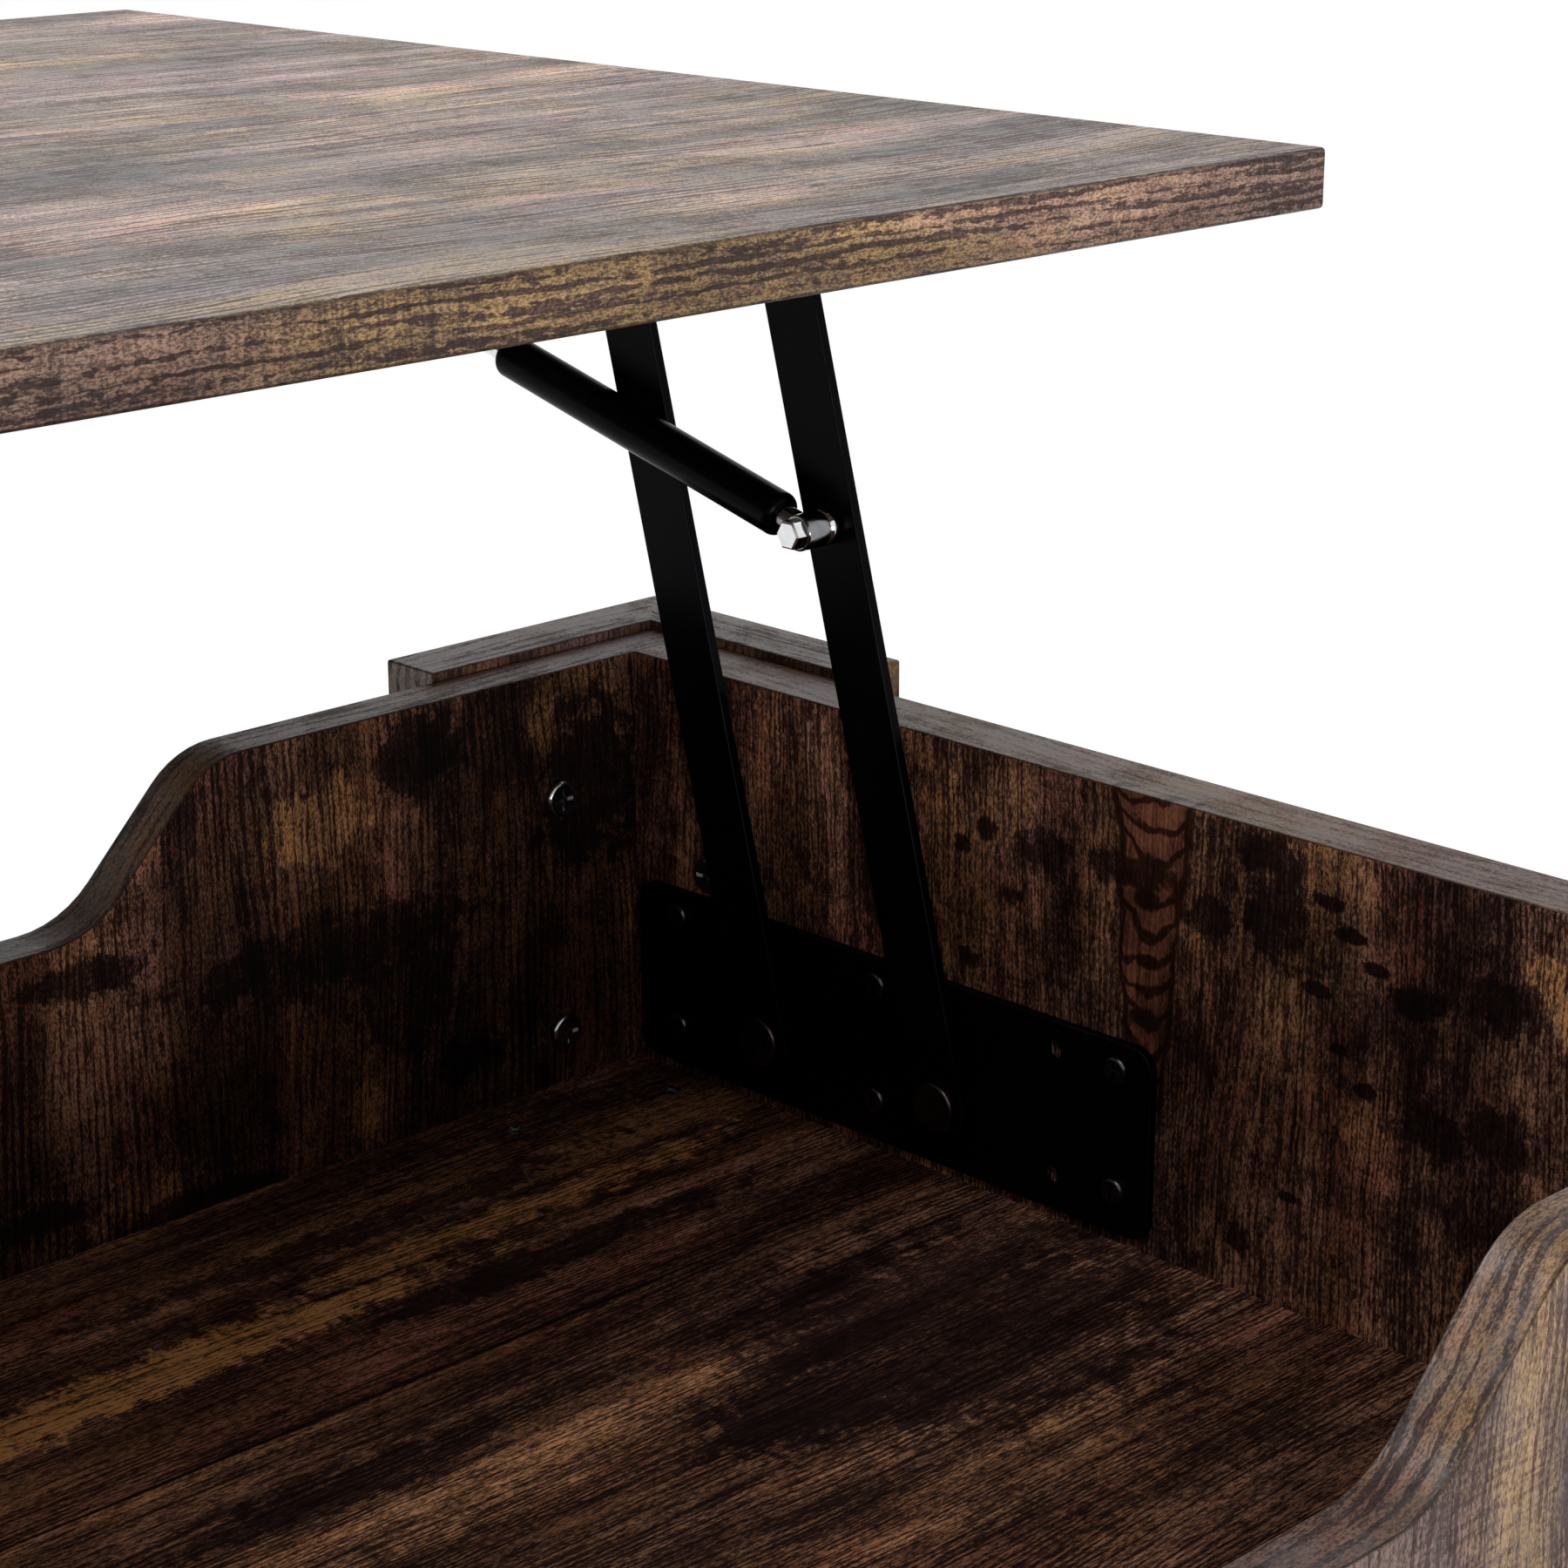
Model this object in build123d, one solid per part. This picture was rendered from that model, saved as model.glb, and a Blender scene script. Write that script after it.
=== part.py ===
from build123d import *

import math
import os
from dataclasses import dataclass

# Lift top coffee table. A shallow tray hangs between four corner posts, over an open shelf.
# The top rises and comes forward on two parallel-arm hinges, one inside each end of the tray,
# and a gas strut beside each rear arm carries its weight. It is drawn with the top raised.
#
# Millimetres, +Z up, X along the table, -Y towards the person who sits at it. The shapes are
# made about the middle of the body, with z = 0 on the floor, and moved along Y as they are
# written, so that the origin lies under the middle of the raised table's outline.

# ------------------------------------------------------------------ boards
TOP_LENGTH = 1000.0
TOP_DEPTH = 510.0
TOP_THICKNESS = 15.0
TOP_EASE = 1.2  # rounding of the top's edges
BODY_LENGTH = 950.0  # over the corner posts
BODY_DEPTH = 460.0  # over the corner posts
POST_HEIGHT = 412.0
POST_WING = 100.0  # width of each of the two boards of a post
POST_THICKNESS = 20.0
POST_PROUD = 2.5  # the posts end this far above the tray's rim
SIDE_PANEL_THICKNESS = 15.0  # front and back
END_PANEL_THICKNESS = 20.0
TRAY_DEPTH = 121.0  # rim to tray floor
TRAY_FLOOR_THICKNESS = 15.0
BATTEN_HEIGHT = 20.0
SIDE_BATTEN_WIDTH = 34.0
END_BATTEN_WIDTH = 24.0
SHELF_THICKNESS = 15.0
SHELF_HEIGHT = 95.0  # room floor to the shelf's upper face
RAIL_HEIGHT = 60.0
RAIL_THICKNESS = 20.0
BOARD_EASE = 0.8  # rounding of the other boards' edges

# The dip in the front and back panels: two bends joined by a straight slope
DIP_DEPTH = 38.5
DIP_SHOULDER = 145.0  # end panel's inner face to the upper bend's corner
DIP_SLOPE = 46.0  # degrees from level
DIP_SHOULDER_RADIUS = 26.0
DIP_FOOT_RADIUS = 30.0

# ------------------------------------------------------------------ lift hinge
ARM_LENGTH = 225.0  # between its pivots
ARM_WIDTH = 18.3
ARM_THICKNESS = 3.0
ARM_SPACING = 66.0  # front arm to rear arm, pivot to pivot
ARM_RAISED_ANGLE = 104.9  # degrees from level at the back: the raised arms lean past upright
PIVOT_BELOW_TOP = 16.5
CLOSED_GAP = 0.3  # between the lowered top and the posts
STEEL_EASE = 0.4

PLATE_MARGIN = 3.5  # base plate to the tray's floor and front panel
PLATE_LENGTH = 189.0
PLATE_HEIGHT = 52.0
PLATE_THICKNESS = 2.5
PLATE_CORNER = 6.0
PLATE_FRONT_PIVOT = 55.5  # plate's front end to the front pivot
PLATE_PIVOT_HEIGHT = 19.5  # plate's lower edge to both pivots
PLATE_SCREW_COLUMNS = (17.0, 94.5, 178.5)
PLATE_SCREW_ROWS = (12.0, 45.0)
PLATE_SPARE_COLUMN = 156.5
PLATE_SPARE_ROWS = (9.5, 44.0)
PLATE_SPARE_DIAMETER = 5.8

BRACKET_LENGTH = 268.0
BRACKET_REAR_OVERHANG = 11.0  # rear pivot to the bracket's rear end
BRACKET_DROP = 25.5
BRACKET_THICKNESS = 2.0
BRACKET_FLANGE = 24.0
BRACKET_STANDOFF = 1.0  # bracket to the end panel, which it passes on the way down
BRACKET_CORNER = 8.0
BRACKET_SCREW_PLACES = (28.0, 98.0, 168.0, 240.0)  # from the bracket's rear end
BRACKET_SCREW_LINE = 15.0  # from the end panel

RIVET_DIAMETER = 8.0
RIVET_HEAD_DIAMETER = 14.0
RIVET_HEAD_HEIGHT = 1.8
RIVET_HEAD_EASE = 0.7
WASHER_DIAMETER = 14.0
WASHER_THICKNESS = 2.3  # between base plate and arm
SIDE_PLAY = 0.2
RUNNING_FIT = 0.05  # radial, between a pin and what turns or slides on it
SNUG_FIT = 0.02  # radial, between a fixed fastener and its hole

# ------------------------------------------------------------------ gas strut
STUD_ON_ARM = 155.0  # rear arm's lower pivot to the strut's lower stud
STUD_AHEAD = 244.0  # rear arm's upper pivot to the strut's upper stud
STRUT_DIAMETER = 12.0
STRUT_BORE = 9.6
STRUT_BACK_LENGTH = 8.8  # lower stud to the barrel's closed end
BARREL_LENGTH = 104.2
BARREL_END_WALL = 3.0
BARREL_EASE = 2.5
GLAND_LENGTH = 8.0
GLAND_SPIGOT = 2.0
ROD_DIAMETER = 6.0
ROD_EASE = 0.6
PISTON_LENGTH = 4.5
PISTON_FIT = 0.1  # radial, piston to bore
PISTON_END_GAP = 0.3
ROD_TIP_GAP = 0.5  # rod's tip to the eye on the upper stud
EYE_DIAMETER = 9.6
EYE_EASE = 0.6
EYE_WIDTH = 8.0
EYE_NECK_DIAMETER = 7.0
EYE_SPIGOT_DIAMETER = 4.0
COLLAR_DIAMETER = 9.6
COLLAR_LENGTH = 4.0
COLLAR_EASE = 1.7
STUD_DIAMETER = 6.0
STUD_HEAD_DIAMETER = 10.0
STUD_HEAD_HEIGHT = 2.2
STUD_THREAD_DIAMETER = 4.0
STUD_THREAD_LENGTH = 2.2
NUT_ACROSS_FLATS = 7.0
NUT_HEIGHT = 3.4  # a blind nut, closed over the thread
NUT_EASE = 0.5


# ------------------------------------------------------------------ screws
@dataclass(frozen=True)
class Screw:
    """A cross-recess screw. A sunk head is a cone that ends flush with the face."""

    head_diameter: float
    head_height: float
    shank_diameter: float
    sunk: bool = False


FRAME_BOLT = Screw(head_diameter=10.4, head_height=2.6, shank_diameter=6.0)
PLATE_SCREW = Screw(head_diameter=7.4, head_height=2.0, shank_diameter=3.6)
SUNK_SCREW = Screw(head_diameter=5.8, head_height=2.0, shank_diameter=3.0, sunk=True)

FRAME_BOLT_BITE = 14.0  # into the post
PLATE_SCREW_BITE = 15.0  # into the end panel
BRACKET_SCREW_BITE = 11.0  # into the top
FLOOR_SCREW_BITE = 14.0  # into a batten
BATTEN_SCREW_BITE = 10.0  # into a panel
SHELF_SCREW_BITE = 25.0  # into a rail
RECESS_WIDTH_SHARE = 0.11  # of the head's diameter
RECESS_LENGTH_SHARE = 0.62
RECESS_DEPTH_SHARE = 0.45  # of the head's height
HEAD_EASE_SHARE = 0.45

SIDE_BOLT_INSET = 29.0  # end panel's inner face to the bolts of a side panel
SIDE_BOLT_DROPS = (36.4, 105.5)  # below the rim
END_BOLT_INSET = 30.8  # side panel's inner face to the bolts of an end panel
END_BOLT_DROP = 58.5
RAIL_BOLT_INSET = 30.0  # post's inner face to the bolts of a shelf rail
RAIL_BOLT_HEIGHTS = (15.0, 45.0)  # above the rail's lower edge
SIDE_FLOOR_SCREW_INSET = 62.0  # end panel to the nearest floor screw over a side batten
SHELF_SCREW_SPREAD = 150.0  # middle to the outer screws of each shelf end
FLOOR_END_SCREW_INSET = 26.3  # side panel to the floor screws over an end batten
SIDE_BATTEN_SCREW_SPREADS = (120.0, 250.0)
END_BATTEN_SCREW_SPREAD = 90.0

GLIDE_DIAMETER = 18.0
GLIDE_THICKNESS = 3.0
GLIDE_EASE = 0.8
GLIDE_NAIL_DIAMETER = 2.0
GLIDE_NAIL_LENGTH = 12.0

# ------------------------------------------------------------------ worked out from these
post_x = BODY_LENGTH / 2 - POST_THICKNESS  # posts' inner faces, and the panels' outer ones
post_y = BODY_DEPTH / 2 - POST_THICKNESS
tray_x = post_x - END_PANEL_THICKNESS  # inner faces of the tray
tray_y = post_y - SIDE_PANEL_THICKNESS
post_top = GLIDE_THICKNESS + POST_HEIGHT
rim = post_top - POST_PROUD
tray_floor = rim - TRAY_DEPTH
batten_top = tray_floor - TRAY_FLOOR_THICKNESS
panel_bottom = batten_top - BATTEN_HEIGHT
rail_top = SHELF_HEIGHT - SHELF_THICKNESS

plate_front = -tray_y + PLATE_MARGIN
plate_bottom = tray_floor + PLATE_MARGIN
pivot_z = plate_bottom + PLATE_PIVOT_HEIGHT
front_pivot_y = plate_front + PLATE_FRONT_PIVOT
rear_pivot_y = front_pivot_y + ARM_SPACING

# The arms come down until the top lies just above the posts.
closed_rise = post_top + CLOSED_GAP - PIVOT_BELOW_TOP - pivot_z
closed_angle = math.degrees(math.asin(closed_rise / ARM_LENGTH))


def along(angle, length):
    """How far a length at an angle from +Y reaches along Y and Z."""
    return length * math.cos(math.radians(angle)), length * math.sin(math.radians(angle))


raised_shift = along(ARM_RAISED_ANGLE, ARM_LENGTH)
upper_pivot_z = pivot_z + raised_shift[1]
upper_rear_y = rear_pivot_y + raised_shift[0]
upper_front_y = front_pivot_y + raised_shift[0]
top_bottom = upper_pivot_z + PIVOT_BELOW_TOP
closed_shift = along(closed_angle, ARM_LENGTH)
# Lowered, the top is centred on the body.
top_y = raised_shift[0] - closed_shift[0]

# The strut runs from a stud on the rear arm to one on the bracket.
arm_stud_y = rear_pivot_y + along(ARM_RAISED_ANGLE, STUD_ON_ARM)[0]
arm_stud_z = pivot_z + along(ARM_RAISED_ANGLE, STUD_ON_ARM)[1]
top_stud_y = upper_rear_y - STUD_AHEAD
strut_run = top_stud_y - arm_stud_y
strut_rise = upper_pivot_z - arm_stud_z
strut_length = math.hypot(strut_run, strut_rise)
strut_angle = math.degrees(math.atan2(strut_rise, strut_run))

# Layers of the hinge, counted from the end panel's inner face into the tray.
arm_near = PLATE_THICKNESS + WASHER_THICKNESS + SIDE_PLAY
arm_far = arm_near + ARM_THICKNESS
bracket_far = BRACKET_STANDOFF + BRACKET_THICKNESS
eye_near = arm_far + COLLAR_LENGTH
strut_line = eye_near + EYE_WIDTH / 2
shoulder_end = eye_near + EYE_WIDTH + SIDE_PLAY

origin_y = (top_y - TOP_DEPTH / 2 + BODY_DEPTH / 2) / 2

# The hinge side of the left end: x is the table's Y, y its Z, and z the layers above.
HINGE = Plane(origin=(-tray_x, 0, 0), x_dir=(0, 1, 0), z_dir=(1, 0, 0))


# ------------------------------------------------------------------ helpers
def block(low, high):
    """A box between two corners."""
    size = [b - a for a, b in zip(low, high)]
    middle = [(a + b) / 2 for a, b in zip(low, high)]
    return Pos(*middle) * Box(*size)


def group(shapes):
    """Separate solids that share one node."""
    return Compound([solid for shape in shapes for solid in shape.solids()])


def mirrored(shape):
    """The same piece at the right end."""
    return mirror(shape, about=Plane.YZ)


def four_corners(shapes):
    """The front left corner's pieces and their images in the other corners."""
    front = list(shapes) + [mirrored(s) for s in shapes]
    return front + [mirror(s, about=Plane.XZ) for s in front]


def facing(direction, *point):
    """A place whose z points along direction, for a screw's head or a hole's mouth."""
    return Plane(origin=point, z_dir=direction).location


def screw(kind, length):
    """A screw whose head bears on z = 0, with its shank pointing down."""
    if kind.sunk:
        head_top = 0.0
        head = Pos(0, 0, -kind.head_height / 2) * Cone(
            kind.shank_diameter / 2, kind.head_diameter / 2, kind.head_height
        )
    else:
        head_top = kind.head_height
        head = Pos(0, 0, kind.head_height / 2) * Cylinder(kind.head_diameter / 2, kind.head_height)
        crown = head.edges().group_by(Axis.Z)[-1]
        head = fillet(crown, kind.head_height * HEAD_EASE_SHARE)
    shank = Pos(0, 0, -length / 2) * Cylinder(kind.shank_diameter / 2, length)
    slot = Box(
        kind.head_diameter * RECESS_LENGTH_SHARE,
        kind.head_diameter * RECESS_WIDTH_SHARE,
        2 * kind.head_height * RECESS_DEPTH_SHARE,
    )
    cross = Pos(0, 0, head_top) * (slot + Rot(0, 0, 90) * slot)
    return head + shank - cross


def screw_hole(kind, length):
    """The hole that such a screw leaves."""
    hole = Pos(0, 0, -(length + SNUG_FIT) / 2) * Cylinder(
        kind.shank_diameter / 2 + SNUG_FIT, length + SNUG_FIT
    )
    if kind.sunk:
        hole += Pos(0, 0, -kind.head_height / 2) * Cone(
            kind.shank_diameter / 2 + SNUG_FIT,
            kind.head_diameter / 2 + SNUG_FIT,
            kind.head_height,
        )
    return hole


def screws(places, kind, length):
    """The same screw at each place."""
    return group([place * screw(kind, length) for place in places])


def drilled(board, places, kind, length):
    """A board with that screw's hole at each place."""
    return board - [place * screw_hole(kind, length) for place in places]


def disc(diameter, near, far, y=0.0, z=0.0):
    """A round of the hinge, between two of its layers."""
    return Pos(y, z, (near + far) / 2) * Cylinder(diameter / 2, far - near)


# ------------------------------------------------------------------ where the screws go
side_bolt_length = SIDE_PANEL_THICKNESS + FRAME_BOLT_BITE
end_bolt_length = END_PANEL_THICKNESS + FRAME_BOLT_BITE
rail_bolt_length = RAIL_THICKNESS + FRAME_BOLT_BITE
floor_screw_length = TRAY_FLOOR_THICKNESS + FLOOR_SCREW_BITE
shelf_screw_length = SHELF_THICKNESS + SHELF_SCREW_BITE
side_batten_screw_length = SIDE_BATTEN_WIDTH + BATTEN_SCREW_BITE
end_batten_screw_length = END_BATTEN_WIDTH + BATTEN_SCREW_BITE
plate_screw_length = PLATE_THICKNESS + PLATE_SCREW_BITE
bracket_screw_length = BRACKET_THICKNESS + BRACKET_SCREW_BITE

side_bolts = [
    facing((0, -side, 0), end * (tray_x - SIDE_BOLT_INSET), side * tray_y, rim - drop)
    for side in (-1, 1)
    for end in (-1, 1)
    for drop in SIDE_BOLT_DROPS
]
end_bolts = [
    facing((-end, 0, 0), end * tray_x, side * (tray_y - END_BOLT_INSET), rim - END_BOLT_DROP)
    for side in (-1, 1)
    for end in (-1, 1)
]
rail_bolts = [
    facing(
        (-end, 0, 0),
        end * (post_x - RAIL_THICKNESS),
        side * (post_y - RAIL_BOLT_INSET),
        rail_top - RAIL_HEIGHT + height,
    )
    for side in (-1, 1)
    for end in (-1, 1)
    for height in RAIL_BOLT_HEIGHTS
]
side_floor_screws = [
    facing((0, 0, 1), x, side * (tray_y - SIDE_BATTEN_WIDTH / 2), tray_floor)
    for side in (-1, 1)
    for x in (SIDE_FLOOR_SCREW_INSET - tray_x, 0, tray_x - SIDE_FLOOR_SCREW_INSET)
]
end_floor_screws = [
    facing(
        (0, 0, 1),
        end * (tray_x - END_BATTEN_WIDTH / 2),
        side * (tray_y - FLOOR_END_SCREW_INSET),
        tray_floor,
    )
    for side in (-1, 1)
    for end in (-1, 1)
]
floor_screws = side_floor_screws + end_floor_screws
shelf_screws = [
    facing((0, 0, 1), end * (post_x - RAIL_THICKNESS / 2), y, SHELF_HEIGHT)
    for end in (-1, 1)
    for y in (-SHELF_SCREW_SPREAD, 0, SHELF_SCREW_SPREAD)
]
batten_middle = batten_top - BATTEN_HEIGHT / 2
side_batten_screws = [
    facing((0, -side, 0), end * x, side * (tray_y - SIDE_BATTEN_WIDTH), batten_middle)
    for side in (-1, 1)
    for end in (-1, 1)
    for x in SIDE_BATTEN_SCREW_SPREADS
]
end_batten_screws = [
    facing(
        (-end, 0, 0),
        end * (tray_x - END_BATTEN_WIDTH),
        side * END_BATTEN_SCREW_SPREAD,
        batten_middle,
    )
    for side in (-1, 1)
    for end in (-1, 1)
]


def plate_screw_places():
    """On the left base plate's face."""
    return [
        facing((1, 0, 0), -tray_x + PLATE_THICKNESS, plate_front + column, plate_bottom + row)
        for column in PLATE_SCREW_COLUMNS
        for row in PLATE_SCREW_ROWS
    ]


def bracket_screw_places():
    """Under the left bracket's level flange."""
    rear_end = upper_rear_y + BRACKET_REAR_OVERHANG
    return [
        facing((0, 0, -1), -tray_x + BRACKET_SCREW_LINE, rear_end - place, top_bottom - BRACKET_THICKNESS)
        for place in BRACKET_SCREW_PLACES
    ]


def both_ends(places):
    """The places at the left end and their images at the right."""
    flipped = []
    for place in places:
        x, y, z = place.position
        direction = Plane(place).z_dir
        flipped.append(facing((-direction.X, direction.Y, direction.Z), -x, y, z))
    return list(places) + flipped


plate_screws = both_ends(plate_screw_places())
bracket_screws = both_ends(bracket_screw_places())


# ------------------------------------------------------------------ corner posts
def post_board(along_x):
    """One of the two mitred boards of the front left post."""
    outer_x, outer_y = -BODY_LENGTH / 2, -BODY_DEPTH / 2
    if along_x:
        outline = [
            (outer_x, outer_y),
            (outer_x + POST_WING, outer_y),
            (outer_x + POST_WING, outer_y + POST_THICKNESS),
            (outer_x + POST_THICKNESS, outer_y + POST_THICKNESS),
        ]
    else:
        outline = [
            (outer_x, outer_y),
            (outer_x + POST_THICKNESS, outer_y + POST_THICKNESS),
            (outer_x + POST_THICKNESS, outer_y + POST_WING),
            (outer_x, outer_y + POST_WING),
        ]
    board = extrude(Pos(0, 0, GLIDE_THICKNESS) * make_face(Polyline(*outline, close=True)), POST_HEIGHT)

    def free(edge):
        # every edge but those of the mitre and of the foot
        middle = edge.center()
        on_mitre = abs((middle.X - outer_x) - (middle.Y - outer_y)) < BOARD_EASE
        return not on_mitre and middle.Z > GLIDE_THICKNESS + BOARD_EASE

    return fillet(board.edges().filter_by(free), BOARD_EASE)


def glide(x, y):
    """A nail-on glide under a post board."""
    pad = Pos(x, y, GLIDE_THICKNESS / 2) * Cylinder(GLIDE_DIAMETER / 2, GLIDE_THICKNESS)
    pad = fillet(pad.edges().group_by(Axis.Z)[0], GLIDE_EASE)
    nail_middle = GLIDE_THICKNESS + GLIDE_NAIL_LENGTH / 2
    return pad + Pos(x, y, nail_middle) * Cylinder(GLIDE_NAIL_DIAMETER / 2, GLIDE_NAIL_LENGTH)


glide_middle = (POST_WING + POST_THICKNESS) / 2
glide_places = [
    (-BODY_LENGTH / 2 + glide_middle, -BODY_DEPTH / 2 + POST_THICKNESS / 2),
    (-BODY_LENGTH / 2 + POST_THICKNESS / 2, -BODY_DEPTH / 2 + glide_middle),
]
foot_glides = group(four_corners([glide(x, y) for x, y in glide_places]))


def nail_hole(x, y):
    length = GLIDE_NAIL_LENGTH + SNUG_FIT
    nail = Cylinder(GLIDE_NAIL_DIAMETER / 2 + SNUG_FIT, length)
    return Pos(x, y, GLIDE_THICKNESS + length / 2) * nail


def finished_posts():
    """All eight boards, by corner, with their bolt and nail holes."""
    boards = {}
    for board_name, along_x, glide_place in (("side", True, 0), ("end", False, 1)):
        plain = post_board(along_x) - nail_hole(*glide_places[glide_place])
        front_left, front_right, back_left, back_right = four_corners([plain])
        corners = {
            "front_left": front_left,
            "front_right": front_right,
            "back_left": back_left,
            "back_right": back_right,
        }
        for corner, board in corners.items():
            if along_x:
                board = drilled(board, side_bolts, FRAME_BOLT, side_bolt_length)
            else:
                board = drilled(board, end_bolts, FRAME_BOLT, end_bolt_length)
                board = drilled(board, rail_bolts, FRAME_BOLT, rail_bolt_length)
            boards[f"{corner}_post_{board_name}_board"] = board
    return boards


# ------------------------------------------------------------------ tray
def side_panel():
    """The front panel, whose rim dips between the hinges so that a hand can reach in."""
    foot = DIP_SHOULDER + DIP_DEPTH / math.tan(math.radians(DIP_SLOPE))
    bend_x, foot_x = tray_x - DIP_SHOULDER, tray_x - foot
    low = rim - DIP_DEPTH
    outline = [
        (-post_x, panel_bottom),
        (post_x, panel_bottom),
        (post_x, rim),
        (bend_x, rim),
        (foot_x, low),
        (-foot_x, low),
        (-bend_x, rim),
        (-post_x, rim),
    ]
    profile = make_face(Polyline(*outline, close=True))
    bends = profile.vertices().filter_by(lambda v: abs(abs(v.X) - bend_x) < BOARD_EASE)
    profile = fillet(bends, DIP_SHOULDER_RADIUS)
    feet = profile.vertices().filter_by(lambda v: abs(abs(v.X) - foot_x) < BOARD_EASE)
    profile = fillet(feet, DIP_FOOT_RADIUS)
    front_face = Plane(origin=(0, -post_y, 0), x_dir=(1, 0, 0), z_dir=(0, -1, 0))
    panel = extrude(front_face * profile, -SIDE_PANEL_THICKNESS)

    def on_rim(edge):
        return edge.bounding_box().min.Z > low - BOARD_EASE and abs(edge.tangent_at(0.5).Y) < 0.5

    panel = fillet(panel.edges().filter_by(on_rim), BOARD_EASE)
    panel = drilled(panel, side_bolts, FRAME_BOLT, side_bolt_length)
    return drilled(panel, side_batten_screws, SUNK_SCREW, side_batten_screw_length)


def end_panel():
    """The left end panel, between the front and back ones."""
    panel = block((-post_x, -tray_y, panel_bottom), (-tray_x, tray_y, rim))
    long_edges = panel.edges().filter_by(Axis.Y).group_by(Axis.Z)[-1]
    panel = fillet(long_edges, BOARD_EASE)
    panel = drilled(panel, end_bolts, FRAME_BOLT, end_bolt_length)
    panel = drilled(panel, end_batten_screws, SUNK_SCREW, end_batten_screw_length)
    return drilled(panel, plate_screws, PLATE_SCREW, plate_screw_length)


def tray_floor_board():
    board = block((-tray_x, -tray_y, batten_top), (tray_x, tray_y, tray_floor))
    return drilled(board, floor_screws, SUNK_SCREW, floor_screw_length)


def batten(low, high):
    """A bearer under the tray's floor, screwed sideways into a panel."""
    bar = block(low, high)
    bar = drilled(bar, floor_screws, SUNK_SCREW, floor_screw_length)
    bar = drilled(bar, side_batten_screws, SUNK_SCREW, side_batten_screw_length)
    return drilled(bar, end_batten_screws, SUNK_SCREW, end_batten_screw_length)


side_batten_end = tray_x - END_BATTEN_WIDTH
front_batten = batten(
    (-side_batten_end, -tray_y, panel_bottom),
    (side_batten_end, -tray_y + SIDE_BATTEN_WIDTH, batten_top),
)
left_batten = batten(
    (-tray_x, -tray_y, panel_bottom),
    (-tray_x + END_BATTEN_WIDTH, tray_y, batten_top),
)


# ------------------------------------------------------------------ shelf
def shelf_board():
    board = block((-post_x, -post_y, rail_top), (post_x, post_y, SHELF_HEIGHT))
    board = fillet(board.edges().filter_by(Axis.X), BOARD_EASE)
    return drilled(board, shelf_screws, SUNK_SCREW, shelf_screw_length)


def shelf_rail():
    """The left rail, bolted to the posts, on which the shelf's end is screwed down."""
    rail = block(
        (-post_x, -post_y, rail_top - RAIL_HEIGHT),
        (-post_x + RAIL_THICKNESS, post_y, rail_top),
    )
    rail = drilled(rail, shelf_screws, SUNK_SCREW, shelf_screw_length)
    return drilled(rail, rail_bolts, FRAME_BOLT, rail_bolt_length)


# ------------------------------------------------------------------ top
def tabletop():
    board = block(
        (-TOP_LENGTH / 2, top_y - TOP_DEPTH / 2, top_bottom),
        (TOP_LENGTH / 2, top_y + TOP_DEPTH / 2, top_bottom + TOP_THICKNESS),
    )
    board = fillet(board.edges(), TOP_EASE)
    return drilled(board, bracket_screws, PLATE_SCREW, bracket_screw_length)


# ------------------------------------------------------------------ hinge, left end
def base_plate():
    """The steel plate that carries both lower pivots."""
    middle = Pos(plate_front + PLATE_LENGTH / 2, plate_bottom + PLATE_HEIGHT / 2)
    plate = extrude(middle * RectangleRounded(PLATE_LENGTH, PLATE_HEIGHT, PLATE_CORNER), PLATE_THICKNESS)
    plate = fillet(plate.edges().group_by(Axis.Z)[-1], STEEL_EASE)
    spares = [
        disc(PLATE_SPARE_DIAMETER, 0, PLATE_THICKNESS, plate_front + PLATE_SPARE_COLUMN, plate_bottom + row)
        for row in PLATE_SPARE_ROWS
    ]
    seats = [
        disc(RIVET_DIAMETER + 2 * SNUG_FIT, 0, PLATE_THICKNESS, y, pivot_z)
        for y in (front_pivot_y, rear_pivot_y)
    ]
    plate = HINGE * (plate - spares - seats)
    return drilled(plate, plate_screws, PLATE_SCREW, plate_screw_length)


def top_bracket():
    """The angle under the top that carries the upper pivots and the strut's upper stud."""
    rear_end = upper_rear_y + BRACKET_REAR_OVERHANG
    front_end = rear_end - BRACKET_LENGTH
    upright = block(
        (front_end, top_bottom - BRACKET_DROP, BRACKET_STANDOFF),
        (rear_end, top_bottom, bracket_far),
    )
    lower_corners = upright.edges().filter_by(Axis.Z).group_by(Axis.Y)[0]
    upright = fillet(lower_corners, BRACKET_CORNER)
    level = block(
        (front_end, top_bottom - BRACKET_THICKNESS, BRACKET_STANDOFF),
        (rear_end, top_bottom, BRACKET_STANDOFF + BRACKET_FLANGE),
    )
    far_corners = level.edges().filter_by(Axis.Y).group_by(Axis.Z)[-1]
    level = fillet(far_corners, BRACKET_CORNER)
    seats = [
        disc(RIVET_DIAMETER + 2 * SNUG_FIT, BRACKET_STANDOFF, bracket_far, y, upper_pivot_z)
        for y in (upper_front_y, upper_rear_y)
    ]
    seats.append(
        disc(STUD_DIAMETER + 2 * SNUG_FIT, BRACKET_STANDOFF, bracket_far, top_stud_y, upper_pivot_z)
    )
    bracket = HINGE * (upright + level - seats)
    return drilled(bracket, bracket_screws, PLATE_SCREW, bracket_screw_length)


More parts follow.
